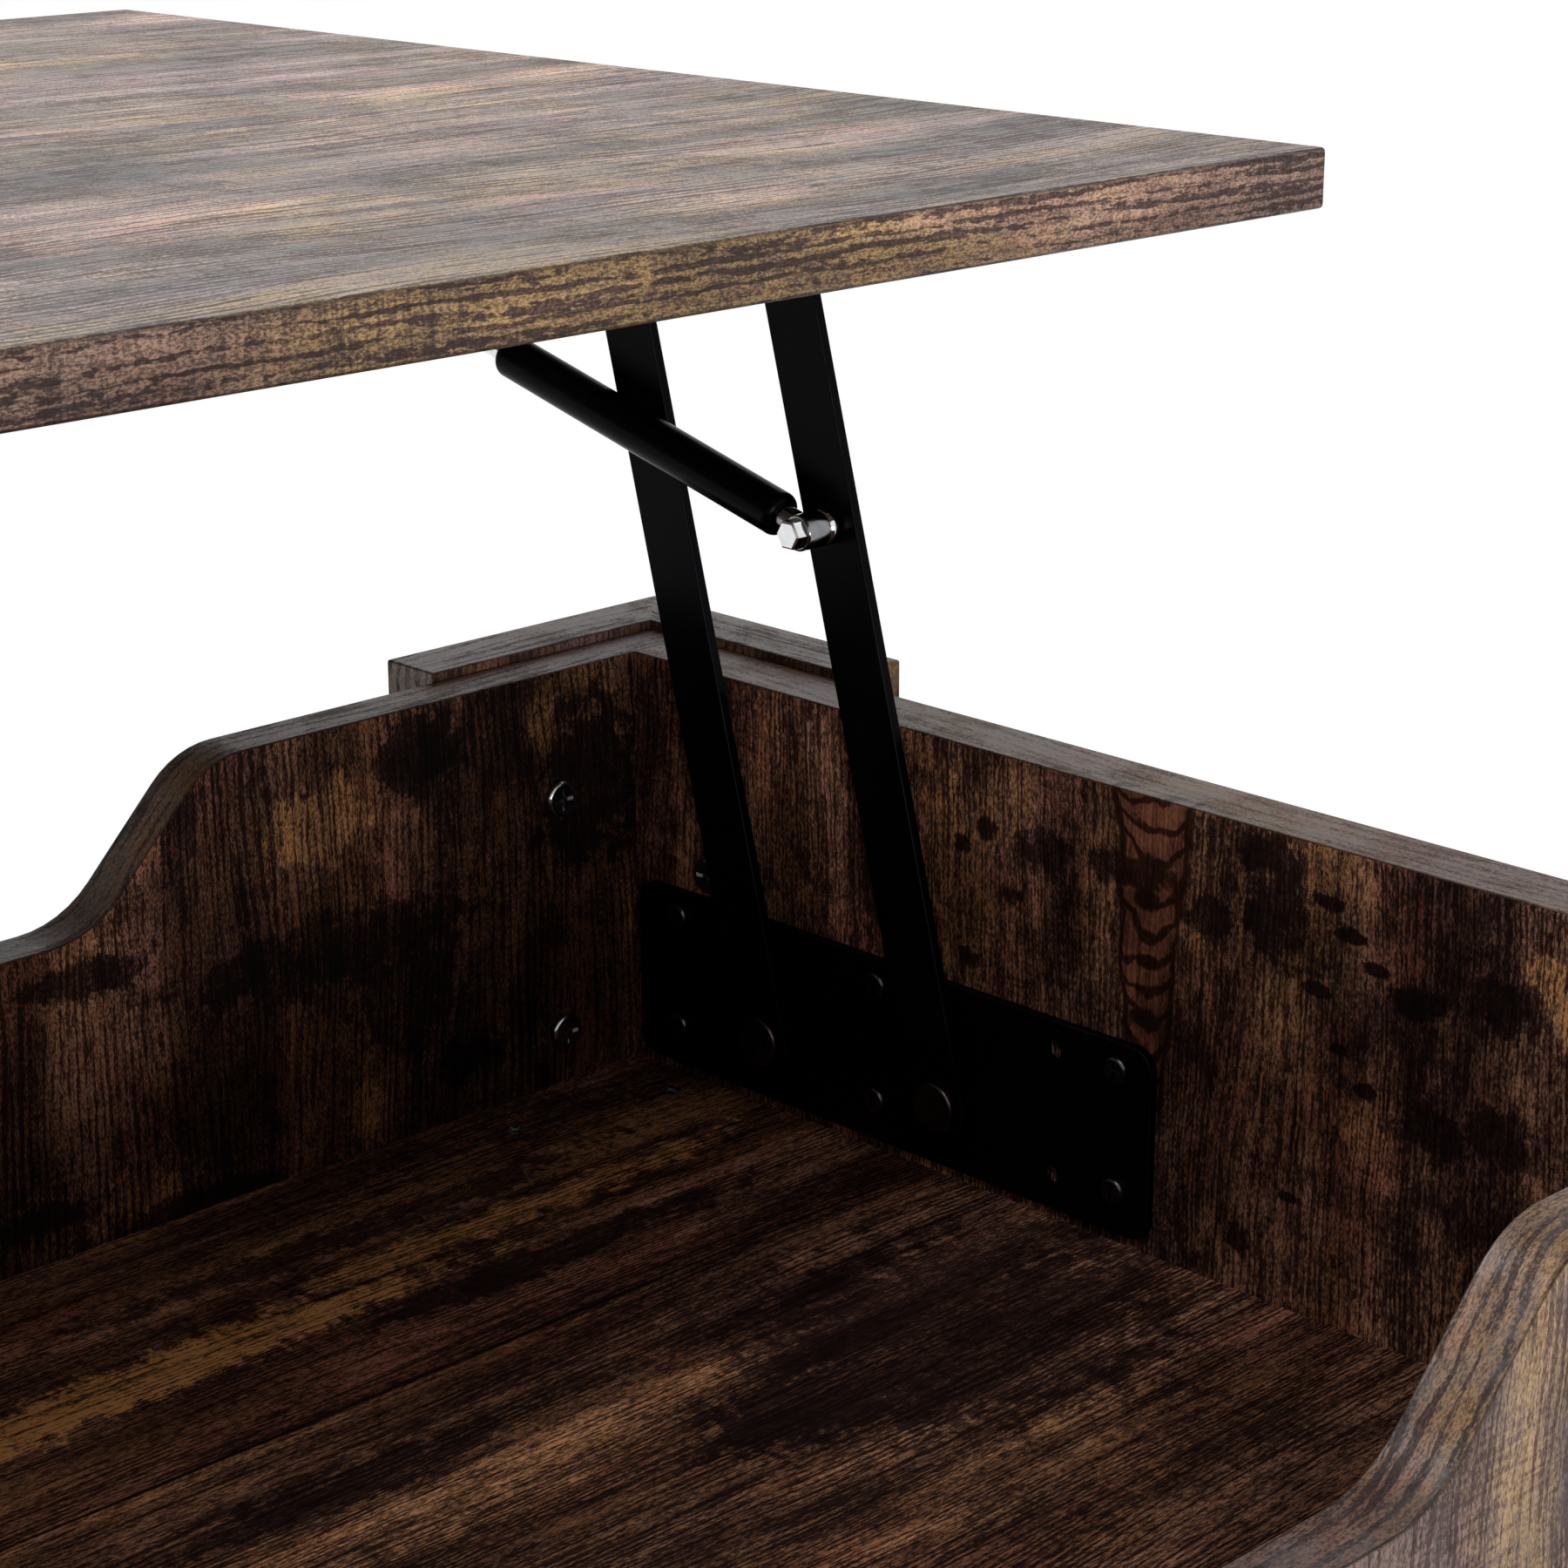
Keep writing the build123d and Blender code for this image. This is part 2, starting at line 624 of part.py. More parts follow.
def arm(pivot_y, carries_strut):
    """A flat bar with a pivot hole near each end."""
    bar = extrude(Pos(ARM_LENGTH / 2, 0) * SlotCenterToCenter(ARM_LENGTH, ARM_WIDTH), ARM_THICKNESS)
    rims = bar.edges().group_by(Axis.Z)
    bar = fillet(rims[0] + rims[-1], STEEL_EASE)
    holes = [
        disc(RIVET_DIAMETER + 2 * RUNNING_FIT, 0, ARM_THICKNESS, place) for place in (0, ARM_LENGTH)
    ]
    if carries_strut:
        holes.append(disc(STUD_DIAMETER + 2 * SNUG_FIT, 0, ARM_THICKNESS, STUD_ON_ARM))
    return HINGE * Pos(pivot_y, pivot_z, arm_near) * Rot(0, 0, ARM_RAISED_ANGLE) * (bar - holes)


def rivet(y, z, tail):
    """A pivot rivet, from its flush tail to the low round head beyond the arm."""
    head_near = arm_far + SIDE_PLAY
    head = disc(RIVET_HEAD_DIAMETER, head_near, head_near + RIVET_HEAD_HEIGHT)
    head = fillet(head.edges().group_by(Axis.Z)[-1], RIVET_HEAD_EASE)
    return HINGE * Pos(y, z, 0) * (head + disc(RIVET_DIAMETER, tail, head_near))


def washer(y, z, near):
    """A spacer that fills the room between a plate or bracket and the arm."""
    far = arm_near - SIDE_PLAY
    ring = disc(WASHER_DIAMETER, near, far) - disc(RIVET_DIAMETER + 2 * SNUG_FIT, near, far)
    return HINGE * Pos(y, z, 0) * ring


# ------------------------------------------------------------------ gas strut, left end
STRUT = HINGE * Pos(arm_stud_y, arm_stud_z, strut_line) * Rot(0, 0, strut_angle)


def strut_round(diameter, start, end):
    """A round along the strut, by its distance from the lower stud."""
    return Pos((start + end) / 2, 0, 0) * Rot(0, 90, 0) * Cylinder(diameter / 2, end - start)


barrel_end = STRUT_BACK_LENGTH + BARREL_LENGTH
bore_start = STRUT_BACK_LENGTH + BARREL_END_WALL


def strut_barrel():
    tube = strut_round(STRUT_DIAMETER, STRUT_BACK_LENGTH, barrel_end)
    tube = fillet(tube.edges().group_by(Axis.X)[0], BARREL_EASE)
    tube -= strut_round(STRUT_BORE, bore_start, barrel_end)
    tube -= strut_round(EYE_SPIGOT_DIAMETER + 2 * SNUG_FIT, STRUT_BACK_LENGTH, bore_start)
    return STRUT * tube


def strut_gland():
    """The cap that closes the barrel and guides the rod."""
    cap = strut_round(STRUT_DIAMETER, barrel_end, barrel_end + GLAND_LENGTH)
    cap = fillet(cap.edges().group_by(Axis.X)[-1], BARREL_EASE)
    cap += strut_round(STRUT_BORE - 2 * SNUG_FIT, barrel_end - GLAND_SPIGOT, barrel_end)
    return STRUT * (
        cap - strut_round(ROD_DIAMETER + 2 * RUNNING_FIT, barrel_end - GLAND_SPIGOT, barrel_end + GLAND_LENGTH)
    )


def strut_eye():
    """The lower eye, whose spigot is fixed in the barrel's closed end."""
    neck = strut_round(EYE_NECK_DIAMETER, 0, STRUT_BACK_LENGTH)
    spigot = strut_round(EYE_SPIGOT_DIAMETER, STRUT_BACK_LENGTH, bore_start)
    return STRUT * (eye_ring() + neck + spigot - eye_hole())


def eye_ring():
    ring = Cylinder(EYE_DIAMETER / 2, EYE_WIDTH)
    return fillet(ring.edges(), EYE_EASE)


def eye_hole():
    return Cylinder(STUD_DIAMETER / 2 + RUNNING_FIT, EYE_WIDTH)


def rod_eye():
    """The eye that stays on the upper stud."""
    return HINGE * Pos(top_stud_y, upper_pivot_z, strut_line) * (eye_ring() - eye_hole())


def strut_rod():
    """The rod, fully out, with its piston against the gland."""
    piston_end = barrel_end - GLAND_SPIGOT - PISTON_END_GAP
    tip = strut_length - EYE_DIAMETER / 2 - ROD_TIP_GAP
    rod = strut_round(ROD_DIAMETER, piston_end, tip)
    rod = fillet(rod.edges().group_by(Axis.X)[-1], ROD_EASE)
    piston = strut_round(STRUT_BORE - 2 * PISTON_FIT, piston_end - PISTON_LENGTH, piston_end)
    return STRUT * (rod + piston)


def stud(y, z, tail, head_diameter):
    """A shouldered stud through the arm or bracket; its thread takes the nut."""
    pin = disc(STUD_DIAMETER, tail, shoulder_end)
    thread = disc(STUD_THREAD_DIAMETER, shoulder_end, shoulder_end + STUD_THREAD_LENGTH)
    whole = pin + thread
    if head_diameter:
        whole += disc(head_diameter, tail - STUD_HEAD_HEIGHT, tail)
    return HINGE * Pos(y, z, 0) * whole


def stud_collar(y, z, near):
    """The round spacer that holds the eye away from the arm or bracket."""
    ring = disc(COLLAR_DIAMETER, near, eye_near)
    ring = fillet(ring.edges(), COLLAR_EASE)
    return HINGE * Pos(y, z, 0) * (ring - disc(STUD_DIAMETER + 2 * SNUG_FIT, near, eye_near))


def stud_nut(y, z):
    nut = extrude(RegularPolygon(NUT_ACROSS_FLATS / 2, 6, major_radius=False), NUT_HEIGHT)
    nut = chamfer(nut.edges().group_by(Axis.Z)[-1], NUT_EASE)
    bore = disc(STUD_THREAD_DIAMETER + 2 * SNUG_FIT, 0, STUD_THREAD_LENGTH)
    return HINGE * Pos(y, z, shoulder_end) * (nut - bore)


# ------------------------------------------------------------------ every piece, by name
parts = {
    "tabletop": tabletop(),
    "front_panel": side_panel(),
    "back_panel": mirror(side_panel(), about=Plane.XZ),
    "tray_floor": tray_floor_board(),
    "side_battens": group([front_batten, mirror(front_batten, about=Plane.XZ)]),
    "end_battens": group([left_batten, mirrored(left_batten)]),
    "lower_shelf": shelf_board(),
    "foot_glides": foot_glides,
    "side_panel_bolts": screws(side_bolts, FRAME_BOLT, side_bolt_length),
    "end_frame_bolts": group(
        [
            screws(end_bolts, FRAME_BOLT, end_bolt_length),
            screws(rail_bolts, FRAME_BOLT, rail_bolt_length),
        ]
    ),
    "tray_floor_screws": screws(floor_screws, SUNK_SCREW, floor_screw_length),
    "shelf_screws": screws(shelf_screws, SUNK_SCREW, shelf_screw_length),
    "side_batten_screws": screws(side_batten_screws, SUNK_SCREW, side_batten_screw_length),
    "end_batten_screws": screws(end_batten_screws, SUNK_SCREW, end_batten_screw_length),
    "base_plate_screws": screws(plate_screws, PLATE_SCREW, plate_screw_length),
    "bracket_screws": screws(bracket_screws, PLATE_SCREW, bracket_screw_length),
}
parts.update(finished_posts())

left_end = {
    "end_panel": end_panel(),
    "shelf_rail": shelf_rail(),
    "base_plate": base_plate(),
    "top_bracket": top_bracket(),
    "front_arm": arm(front_pivot_y, carries_strut=False),
    "rear_arm": arm(rear_pivot_y, carries_strut=True),
    "strut_barrel": strut_barrel(),
    "strut_gland": strut_gland(),
    "strut_eye": strut_eye(),
    "strut_rod": strut_rod(),
    "rod_eye": rod_eye(),
    "arm_stud": stud(arm_stud_y, arm_stud_z, arm_near, STUD_HEAD_DIAMETER),
    "bracket_stud": stud(top_stud_y, upper_pivot_z, BRACKET_STANDOFF, None),
}
for name, piece in left_end.items():
    parts[f"left_{name}"] = piece
    parts[f"right_{name}"] = mirrored(piece)

hinge_hardware = {
    "lower_pivot_rivets": [rivet(y, pivot_z, 0) for y in (front_pivot_y, rear_pivot_y)],
    "lower_pivot_washers": [
        washer(y, pivot_z, PLATE_THICKNESS) for y in (front_pivot_y, rear_pivot_y)
    ],
    "upper_pivot_rivets": [
        rivet(y, upper_pivot_z, BRACKET_STANDOFF) for y in (upper_front_y, upper_rear_y)
    ],
    "upper_pivot_washers": [
        washer(y, upper_pivot_z, bracket_far) for y in (upper_front_y, upper_rear_y)
    ],
    "bracket_stud_collars": [stud_collar(top_stud_y, upper_pivot_z, bracket_far)],
    "bracket_stud_nuts": [stud_nut(top_stud_y, upper_pivot_z)],
}
for name, pieces in hinge_hardware.items():
    parts[name] = group(pieces + [mirrored(piece) for piece in pieces])

# The arm studs' collars and nuts turn with their arms, so each end has its own.
for end, turned in (("left", lambda piece: piece), ("right", mirrored)):
    parts[f"{end}_arm_stud_collar"] = turned(stud_collar(arm_stud_y, arm_stud_z, arm_far))
    parts[f"{end}_arm_stud_nut"] = turned(stud_nut(arm_stud_y, arm_stud_z))

os.makedirs("parts", exist_ok=True)
for name, piece in parts.items():
    export_step(Pos(0, -origin_y, 0) * piece, f"parts/{name}.step")
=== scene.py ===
import math

import bpy
from mathutils import Matrix, Vector


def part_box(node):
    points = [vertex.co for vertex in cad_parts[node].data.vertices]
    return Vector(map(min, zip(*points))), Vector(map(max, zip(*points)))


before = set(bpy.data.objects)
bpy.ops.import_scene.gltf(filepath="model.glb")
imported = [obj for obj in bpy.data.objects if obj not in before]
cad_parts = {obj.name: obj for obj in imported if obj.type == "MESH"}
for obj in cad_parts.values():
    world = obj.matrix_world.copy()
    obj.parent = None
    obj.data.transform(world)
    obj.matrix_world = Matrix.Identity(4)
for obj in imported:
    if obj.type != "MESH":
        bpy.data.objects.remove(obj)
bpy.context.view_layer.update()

# ---------------------------------------------------------------- tabletop
# One board of laminated chipboard, printed as old planks: fine growth lines along the table,
# broken by cross saw marks, with ochre sapwood, grey weathering and dark stains. It has a low
# satin sheen, and its glued edge band carries a coarser print.
mix_sockets = {"FLOAT": (2, 3, 0), "VECTOR": (4, 5, 1), "RGBA": (6, 7, 2)}  # a, b and the result


def node(tree, kind, **settings):
    """A new node with its properties set."""
    made = tree.nodes.new(kind)
    for name, value in settings.items():
        setattr(made, name, value)
    return made


def feed(tree, socket, value):
    """Links an output into a socket, or sets the socket's own value."""
    if isinstance(value, bpy.types.NodeSocket):
        tree.links.new(value, socket)
    elif value is not None:
        socket.default_value = value


def calc(tree, operation, a, b=None, c=None):
    made = node(tree, "ShaderNodeMath", operation=operation)
    for socket, value in zip(made.inputs, (a, b, c)):
        feed(tree, socket, value)
    return made.outputs[0]


def times(tree, a, b):
    return calc(tree, "MULTIPLY", a, b)


def larger(tree, a, b):
    return calc(tree, "MAXIMUM", a, b)


def between(tree, value, low, high, start=0.0, end=1.0):
    """A smooth step from start to end while value goes from low to high."""
    made = node(tree, "ShaderNodeMapRange", interpolation_type="SMOOTHSTEP")
    for name, given in (
        ("Value", value), ("From Min", low), ("From Max", high), ("To Min", start), ("To Max", end),
    ):
        feed(tree, made.inputs[name], given)
    return made.outputs["Result"]


def mixed(tree, kind, share, a, b):
    """b over a by share. A Mix node has sockets of its own for each kind of value."""
    made = node(tree, "ShaderNodeMix", data_type=kind)
    first, second, out = mix_sockets[kind]
    feed(tree, made.inputs["Factor"], share)
    feed(tree, made.inputs[first], a)
    feed(tree, made.inputs[second], b)
    return made.outputs[out]


def blend(tree, share, a, b):
    """Colour b over colour a."""
    return mixed(tree, "RGBA", share, a, b)


def split(tree, vector):
    """The sockets of a vector's X, Y and Z."""
    made = node(tree, "ShaderNodeSeparateXYZ")
    feed(tree, made.inputs[0], vector)
    return made.outputs


def joined(tree, *values):
    """A vector from its X, Y and Z."""
    made = node(tree, "ShaderNodeCombineXYZ")
    for socket, value in zip(made.inputs, values):
        feed(tree, socket, value)
    return made.outputs[0]


def scaled(tree, vector, scale, shift=(0.0, 0.0, 0.0)):
    made = node(tree, "ShaderNodeMapping")
    feed(tree, made.inputs["Vector"], vector)
    feed(tree, made.inputs["Scale"], scale)
    feed(tree, made.inputs["Location"], shift)
    return made.outputs[0]


def clouds(tree, vector, scale, detail=2.0, roughness=0.5):
    """Plain noise, as a value."""
    made = node(tree, "ShaderNodeTexNoise")
    feed(tree, made.inputs["Vector"], vector)
    feed(tree, made.inputs["Scale"], scale)
    feed(tree, made.inputs["Detail"], detail)
    feed(tree, made.inputs["Roughness"], roughness)
    return made.outputs["Fac"]


def group_tree(name, inputs, outputs):
    """An empty shader group with its sockets, its input node and its output node."""
    tree = bpy.data.node_groups.new(name, "ShaderNodeTree")
    kinds = {"float": "NodeSocketFloat", "vector": "NodeSocketVector", "colour": "NodeSocketColor"}
    for in_out, sockets in (("INPUT", inputs), ("OUTPUT", outputs)):
        for label, kind, default in sockets:
            made = tree.interface.new_socket(name=label, in_out=in_out, socket_type=kinds[kind])
            if default is not None:
                made.default_value = default
    return tree, node(tree, "NodeGroupInput"), node(tree, "NodeGroupOutput")


def placed(tree, group, **values):
    """A shader group placed in a tree, with some of its inputs fed."""
    made = node(tree, "ShaderNodeGroup", node_tree=bpy.data.node_groups[group])
    for label, value in values.items():
        feed(tree, made.inputs[label], value)
    return made


def new_material(name):
    """A material with nodes: returns it, its tree and its shader."""
    material = bpy.data.materials.new(name)
    material.use_nodes = True
    return material, material.node_tree, material.node_tree.nodes["Principled BSDF"]


def plank_print():
    """The print of old planks. Place is in metres: x along the grain, y across it, z into the
    board. Base is the tone of its middle, Pitch the distance of its growth lines, and the other
    numbers are strengths. Mark darkens, Glow turns to yellow sapwood and Heart to red heartwood."""
    tree, given, result = group_tree(
        "plank_print",
        [
            ("Place", "vector", (0.0, 0.0, 0.0)),
            ("Base", "float", 0.10),
            ("Contrast", "float", 1.0),
            ("Warmth", "float", 1.0),
            ("Pitch", "float", 0.0026),
            ("Lines", "float", 1.0),
            ("Sway", "float", 1.0),
            ("Broken", "float", 0.3),
            ("Cross", "float", 1.0),
            ("Stain", "float", 1.0),
            ("Ochre", "float", 1.0),
            ("Grey", "float", 0.3),
            ("Mark", "float", 0.0),
            ("Glow", "float", 0.0),
            ("Heart", "float", 0.0),
        ],
        [
            ("Color", "colour", None),
            ("Wear", "float", None),
            ("Sheen", "float", None),
            ("Height", "float", None),
        ],
    )
    place = given.outputs["Place"]
    mark, glow, heart = (given.outputs[label] for label in ("Mark", "Glow", "Heart"))
    along, across, depth_in = split(tree, place)

    def noise(scale, shift, detail=2.0, roughness=0.6, where=place):
        """Noise with its cells per metre along, across and into the board, moved by shift."""
        return clouds(tree, scaled(tree, where, scale, shift), 1.0, detail, roughness)

    def spread(value, low, high):
        return between(tree, value, low, high, -1.0, 1.0)

    def add(total, value, amount):
        return calc(tree, "MULTIPLY_ADD", value, amount, total)

    # growth lines a few millimetres apart: rings that waver, swell, break up and fade
    sway, waver, tremble = 0.042, 0.0034, 0.0011  # metres, over decimetres, centimetres, millimetres
    shift = times(tree, noise((3.2, 9.0, 9.0), (0.0, 0.0, 0.0)), given.outputs["Sway"])
    shift = add(across, shift, sway)
    shift = add(shift, noise((26.0, 95.0, 95.0), (3.1, 1.7, 0.4)), waver)
    shift = add(shift, noise((190.0, 300.0, 200.0), (1.1, 5.7, 2.4)), tremble)
    steps = calc(tree, "DIVIDE", shift, given.outputs["Pitch"])
    ring = calc(tree, "SINE", times(tree, steps, 2.0 * math.pi))
    strand_cells = (18.0, 1.9, 20.0)  # per metre along, per line across, per metre in
    strands = joined(tree, *(
        times(tree, value, cells) for value, cells in zip((along, steps, depth_in), strand_cells)
    ))
    ring_share, fade_share, fray_share = 0.09, 0.35, 1.2
    drawn = add(clouds(tree, strands, 1.0, 2.5, 0.62), ring, ring_share)
    faded = calc(tree, "SUBTRACT", noise((10.0, 42.0, 40.0), (7.0, 3.0, 1.0), 3.0), 0.5)
    drawn = add(drawn, faded, fade_share)
    frayed = calc(tree, "SUBTRACT", noise((210.0, 620.0, 300.0), (2.0, 3.3, 1.9), 2.0, 0.65), 0.5)
    drawn = add(drawn, times(tree, frayed, given.outputs["Broken"]), fray_share)
    heart_calm = -0.7
    plain = calc(tree, "MULTIPLY_ADD", heart, heart_calm, 1.0)
    lines = times(tree, between(tree, drawn, 0.485, 0.60), times(tree, given.outputs["Lines"], plain))

    # fibres along the grain, flecks, mottling, and wide bands of lighter and darker wood
    bent = joined(tree, along, shift, depth_in)
    fibre = spread(noise((45.0, 1600.0, 350.0), (5.0, 2.0, 9.0), where=bent), 0.36, 0.64)
    fleck = spread(noise((900.0, 2000.0, 1100.0), (8.0, 1.0, 3.0), 2.0, 0.7), 0.40, 0.60)
    fleck = times(tree, fleck, plain)
    mottle = spread(noise((55.0, 95.0, 70.0), (6.0, 2.5, 0.0), 4.0, 0.68), 0.36, 0.64)
    band = spread(noise((4.0, 45.0, 16.0), (0.3, 9.0, 2.2), 3.0, where=bent), 0.36, 0.64)
    broad = spread(noise((4.5, 11.0, 8.0), (3.3, 0.9, 1.2)), 0.38, 0.62)

    # saw marks across the grain in patches, and dark stains with ragged edges
    saw_marks = between(tree, noise((760.0, 60.0, 60.0), (1.0, 8.0, 2.0)), 0.46, 0.64)
    sawn = between(tree, noise((14.0, 20.0, 20.0), (2.0, 6.0, 5.0)), 0.44, 0.62)
    saw_marks = times(tree, times(tree, saw_marks, sawn), given.outputs["Cross"])
    cloud = between(tree, noise((11.0, 17.0, 12.0), (4.5, 0.5, 6.0), 6.0, 0.72), 0.50, 0.62)
    blot = between(tree, noise((42.0, 60.0, 40.0), (0.5, 7.5, 2.0), 5.0, 0.72), 0.55, 0.66, 0.0, 0.8)
    stain = times(tree, larger(tree, cloud, blot), given.outputs["Stain"])

    # it is printed in few tones, so the sum of all this is drawn towards a light and a dark one
    darkest, lightest = -1.5, 0.5
    tone = times(tree, mottle, 0.22)
    for value, amount in (
        (fibre, 0.22), (fleck, 0.50), (band, 0.22), (lines, -1.0), (saw_marks, -0.55),
        (stain, -0.85), (mark, -1.5), (glow, 0.5),
    ):
        tone = add(tone, value, amount)
    light = between(tree, tone, darkest, lightest)
    red_patch = between(tree, noise((12.0, 28.0, 20.0), (3.3, 5.1, 8.0), 3.0), 0.44, 0.60)
    depth = calc(tree, "MULTIPLY_ADD", light, 0.9, -0.55)
    for value, amount in ((tone, 0.60), (broad, 0.28), (band, 0.2), (red_patch, -0.3)):
        depth = add(depth, value, amount)
    depth = times(tree, depth, given.outputs["Contrast"])
    depth = add(add(depth, glow, 0.85), heart, -0.4)
    palest = 0.62
    value = times(tree, calc(tree, "EXPONENT", depth), given.outputs["Base"])
    value = calc(tree, "MINIMUM", value, palest)

    # hue: tan wood with red-brown and ochre patches, turning purple-grey where it is dark
    tan, red_brown = (1.35, 0.91, 0.69, 1.0), (1.44, 0.87, 0.67, 1.0)
    ochre, weathered = (1.37, 0.94, 0.50, 1.0), (1.19, 0.905, 1.02, 1.0)
    shaded, heartwood = (1.32, 0.87, 0.84, 1.0), (1.47, 0.86, 0.64, 1.0)
    hue = blend(tree, red_patch, tan, red_brown)
    sapwood = between(tree, noise((6.0, 22.0, 14.0), (9.0, 9.5, 2.0), 3.0), 0.42, 0.60)
    sapwood = larger(tree, times(tree, sapwood, given.outputs["Ochre"]), glow)
    hue = blend(tree, calc(tree, "MINIMUM", sapwood, 1.0), hue, ochre)
    grey = between(tree, noise((5.0, 18.0, 12.0), (1.0, 2.0, 3.0), 3.0), 0.44, 0.60)
    hue = blend(tree, times(tree, grey, given.outputs["Grey"]), hue, weathered)
    hue = blend(tree, between(tree, light, 0.15, 0.75, 0.75, 0.0), hue, shaded)
    hue = blend(tree, heart, hue, heartwood)
    richer = node(tree, "ShaderNodeGamma")
    feed(tree, richer.inputs["Color"], hue)
    feed(tree, richer.inputs["Gamma"], given.outputs["Warmth"])
    tinted = node(tree, "ShaderNodeVectorMath", operation="SCALE")
    feed(tree, tinted.inputs[0], richer.outputs[0])
    feed(tree, tinted.inputs["Scale"], value)
    feed(tree, result.inputs["Color"], tinted.outputs[0])

    # dark print is rougher and less glossy, and lies a little deeper
    wear = calc(tree, "MULTIPLY_ADD", mottle, 0.2, calc(tree, "MULTIPLY_ADD", light, -0.4, 0.7))
    height = calc(tree, "MULTIPLY_ADD", fleck, 0.10, calc(tree, "MULTIPLY_ADD", light, 0.6, 0.2))
    feed(tree, result.inputs["Wear"], wear)
    feed(tree, result.inputs["Sheen"], between(tree, wear, 0.30, 0.75, 1.0, 0.3))
    feed(tree, result.inputs["Height"], height)


def banded_edge():
    """Facing is 1 on a board's broad faces and 0 on its narrow ones. Face is the same, cut sharply
    in the middle of the eased edge, and Glue is the dark line where the edge band meets a face."""
    tree, given, result = group_tree(
        "banded_edge", [("Facing", "float", 1.0)], [("Face", "float", None), ("Glue", "float", None)],
    )
    facing = given.outputs["Facing"]
    glue_strength = 0.55
    glue = times(tree, between(tree, facing, 0.10, 0.45), between(tree, facing, 0.75, 0.97, 1.0, 0.0))
    feed(tree, result.inputs["Face"], between(tree, facing, 0.68, 0.72))
    feed(tree, result.inputs["Glue"], times(tree, glue, glue_strength))


def board_print(name, face, grain, edge_grain, face_looks, edge_looks, shift=(0.0, 0.0, 0.0),
                inner=None, gloss=(0.42, 0.58), shine=0.5, face_shine=0.0, band_shine=0.0, stretch=1.0):
    """The material of printed boards, returned with its print and the mask of its broad faces.
    These look along the axis face, with the print's grain along another, and on narrow faces it
    runs along edge_grain. inner is the axis, middle and reach of the tray's inner faces, and their
    own looks. gloss is the range of the roughness, shine the specular level, face_shine the lacquer
    on the inner faces, or on all broad ones where inner isn't given, and band_shine that on the
    rest. stretch shortens the print along the grain."""
    glue_brown = (0.02, 0.013, 0.009, 1.0)
    lacquer_roughness = 0.36
    emboss_strength, emboss_depth = 0.3, 0.0004
    inner_fade = 0.002
    edge_shift = (shift[0] + 0.31, shift[1] + 0.17, 0.05)  # so that an edge doesn't repeat its face
    material, tree, shader = new_material(name)
    coords = node(tree, "ShaderNodeTexCoord")
    place = split(tree, coords.outputs["Object"])
    normal = split(tree, coords.outputs["Normal"])

    def turned(along, depth, moved):
        """The place as x along the grain, y across it and z into the board."""
        across = ({"X", "Y", "Z"} - {along, depth}).pop()
        laid = joined(tree, place[along], place[across], place[depth])
        return scaled(tree, laid, (stretch, 1.0, 1.0), moved)

    edge = placed(tree, "banded_edge", Facing=calc(tree, "ABSOLUTE", normal[face]))
    on_face = edge.outputs["Face"]
    narrow_depth = ({"X", "Y", "Z"} - {edge_grain, face}).pop()
    laid_on_edge = turned(edge_grain, narrow_depth, edge_shift)
    laid = mixed(tree, "VECTOR", on_face, laid_on_edge, turned(grain, face, shift))
    pattern = placed(tree, "plank_print", Place=laid)
    # the inner faces' own looks are painted shade: a darker print where the tray lies in shade
    main_face, inner_shade_looks = on_face, {}
    if inner:
        axis, middle, reach, inner_shade_looks = inner
        off = calc(tree, "ABSOLUTE", calc(tree, "SUBTRACT", place[axis], middle))
        main_face = times(tree, between(tree, off, reach, reach + inner_fade, 1.0, 0.0), on_face)
    for socket in pattern.inputs:
        label = socket.name
        if any(label in looks for looks in (face_looks, edge_looks, inner_shade_looks)):
            plain = socket.default_value
            ends = (edge_looks.get(label, plain), face_looks.get(label, plain))
            value = between(tree, on_face, 0.0, 1.0, *ends)
            if label in inner_shade_looks:
                value = mixed(tree, "FLOAT", main_face, value, inner_shade_looks[label])
            feed(tree, socket, value)
    colour = blend(tree, edge.outputs["Glue"], pattern.outputs["Color"], glue_brown)
    feed(tree, shader.inputs["Base Color"], colour)
    feed(tree, shader.inputs["Roughness"], between(tree, pattern.outputs["Wear"], 0.0, 1.0, *gloss))
    shader.inputs["Specular IOR Level"].default_value = shine
    if band_shine or face_shine:
        weight = calc(tree, "MULTIPLY_ADD", main_face, face_shine - band_shine, band_shine)
        feed(tree, shader.inputs["Coat Weight"], times(tree, weight, pattern.outputs["Sheen"]))
        shader.inputs["Coat Roughness"].default_value = lacquer_roughness
    bump = node(tree, "ShaderNodeBump")
    bump.inputs["Strength"].default_value = emboss_strength
    bump.inputs["Distance"].default_value = emboss_depth
    feed(tree, bump.inputs["Height"], pattern.outputs["Height"])
    feed(tree, shader.inputs["Normal"], bump.outputs[0])
    return material, pattern, on_face


def dress(material, *names):
    """Gives CAD nodes a material in place of their plain one."""
    for name in names:
        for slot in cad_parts[name].material_slots:
            slot.material = material


plank_print()
banded_edge()
top_looks = {
    "Base": 0.138, "Contrast": 1.12, "Warmth": 1.15, "Pitch": 0.0028, "Lines": 1.3, "Broken": 0.3,
    "Cross": 0.8, "Stain": 0.6, "Ochre": 1.3, "Grey": 0.35,
}
band_looks = {
    "Base": 0.168, "Contrast": 0.95, "Warmth": 1.2, "Pitch": 0.0028, "Lines": 1.3, "Sway": 0.15,
    "Broken": 0.60, "Cross": 0.9, "Stain": 0.1, "Ochre": 1.1, "Grey": 0.1,
}
top_board = board_print(
    "tabletop_board", "Z", "X", "X", top_looks, band_looks,
    gloss=(0.42, 0.6), shine=0.15, face_shine=0.55, band_shine=0.3, stretch=1.1,
)[0]
dress(top_board, "tabletop")
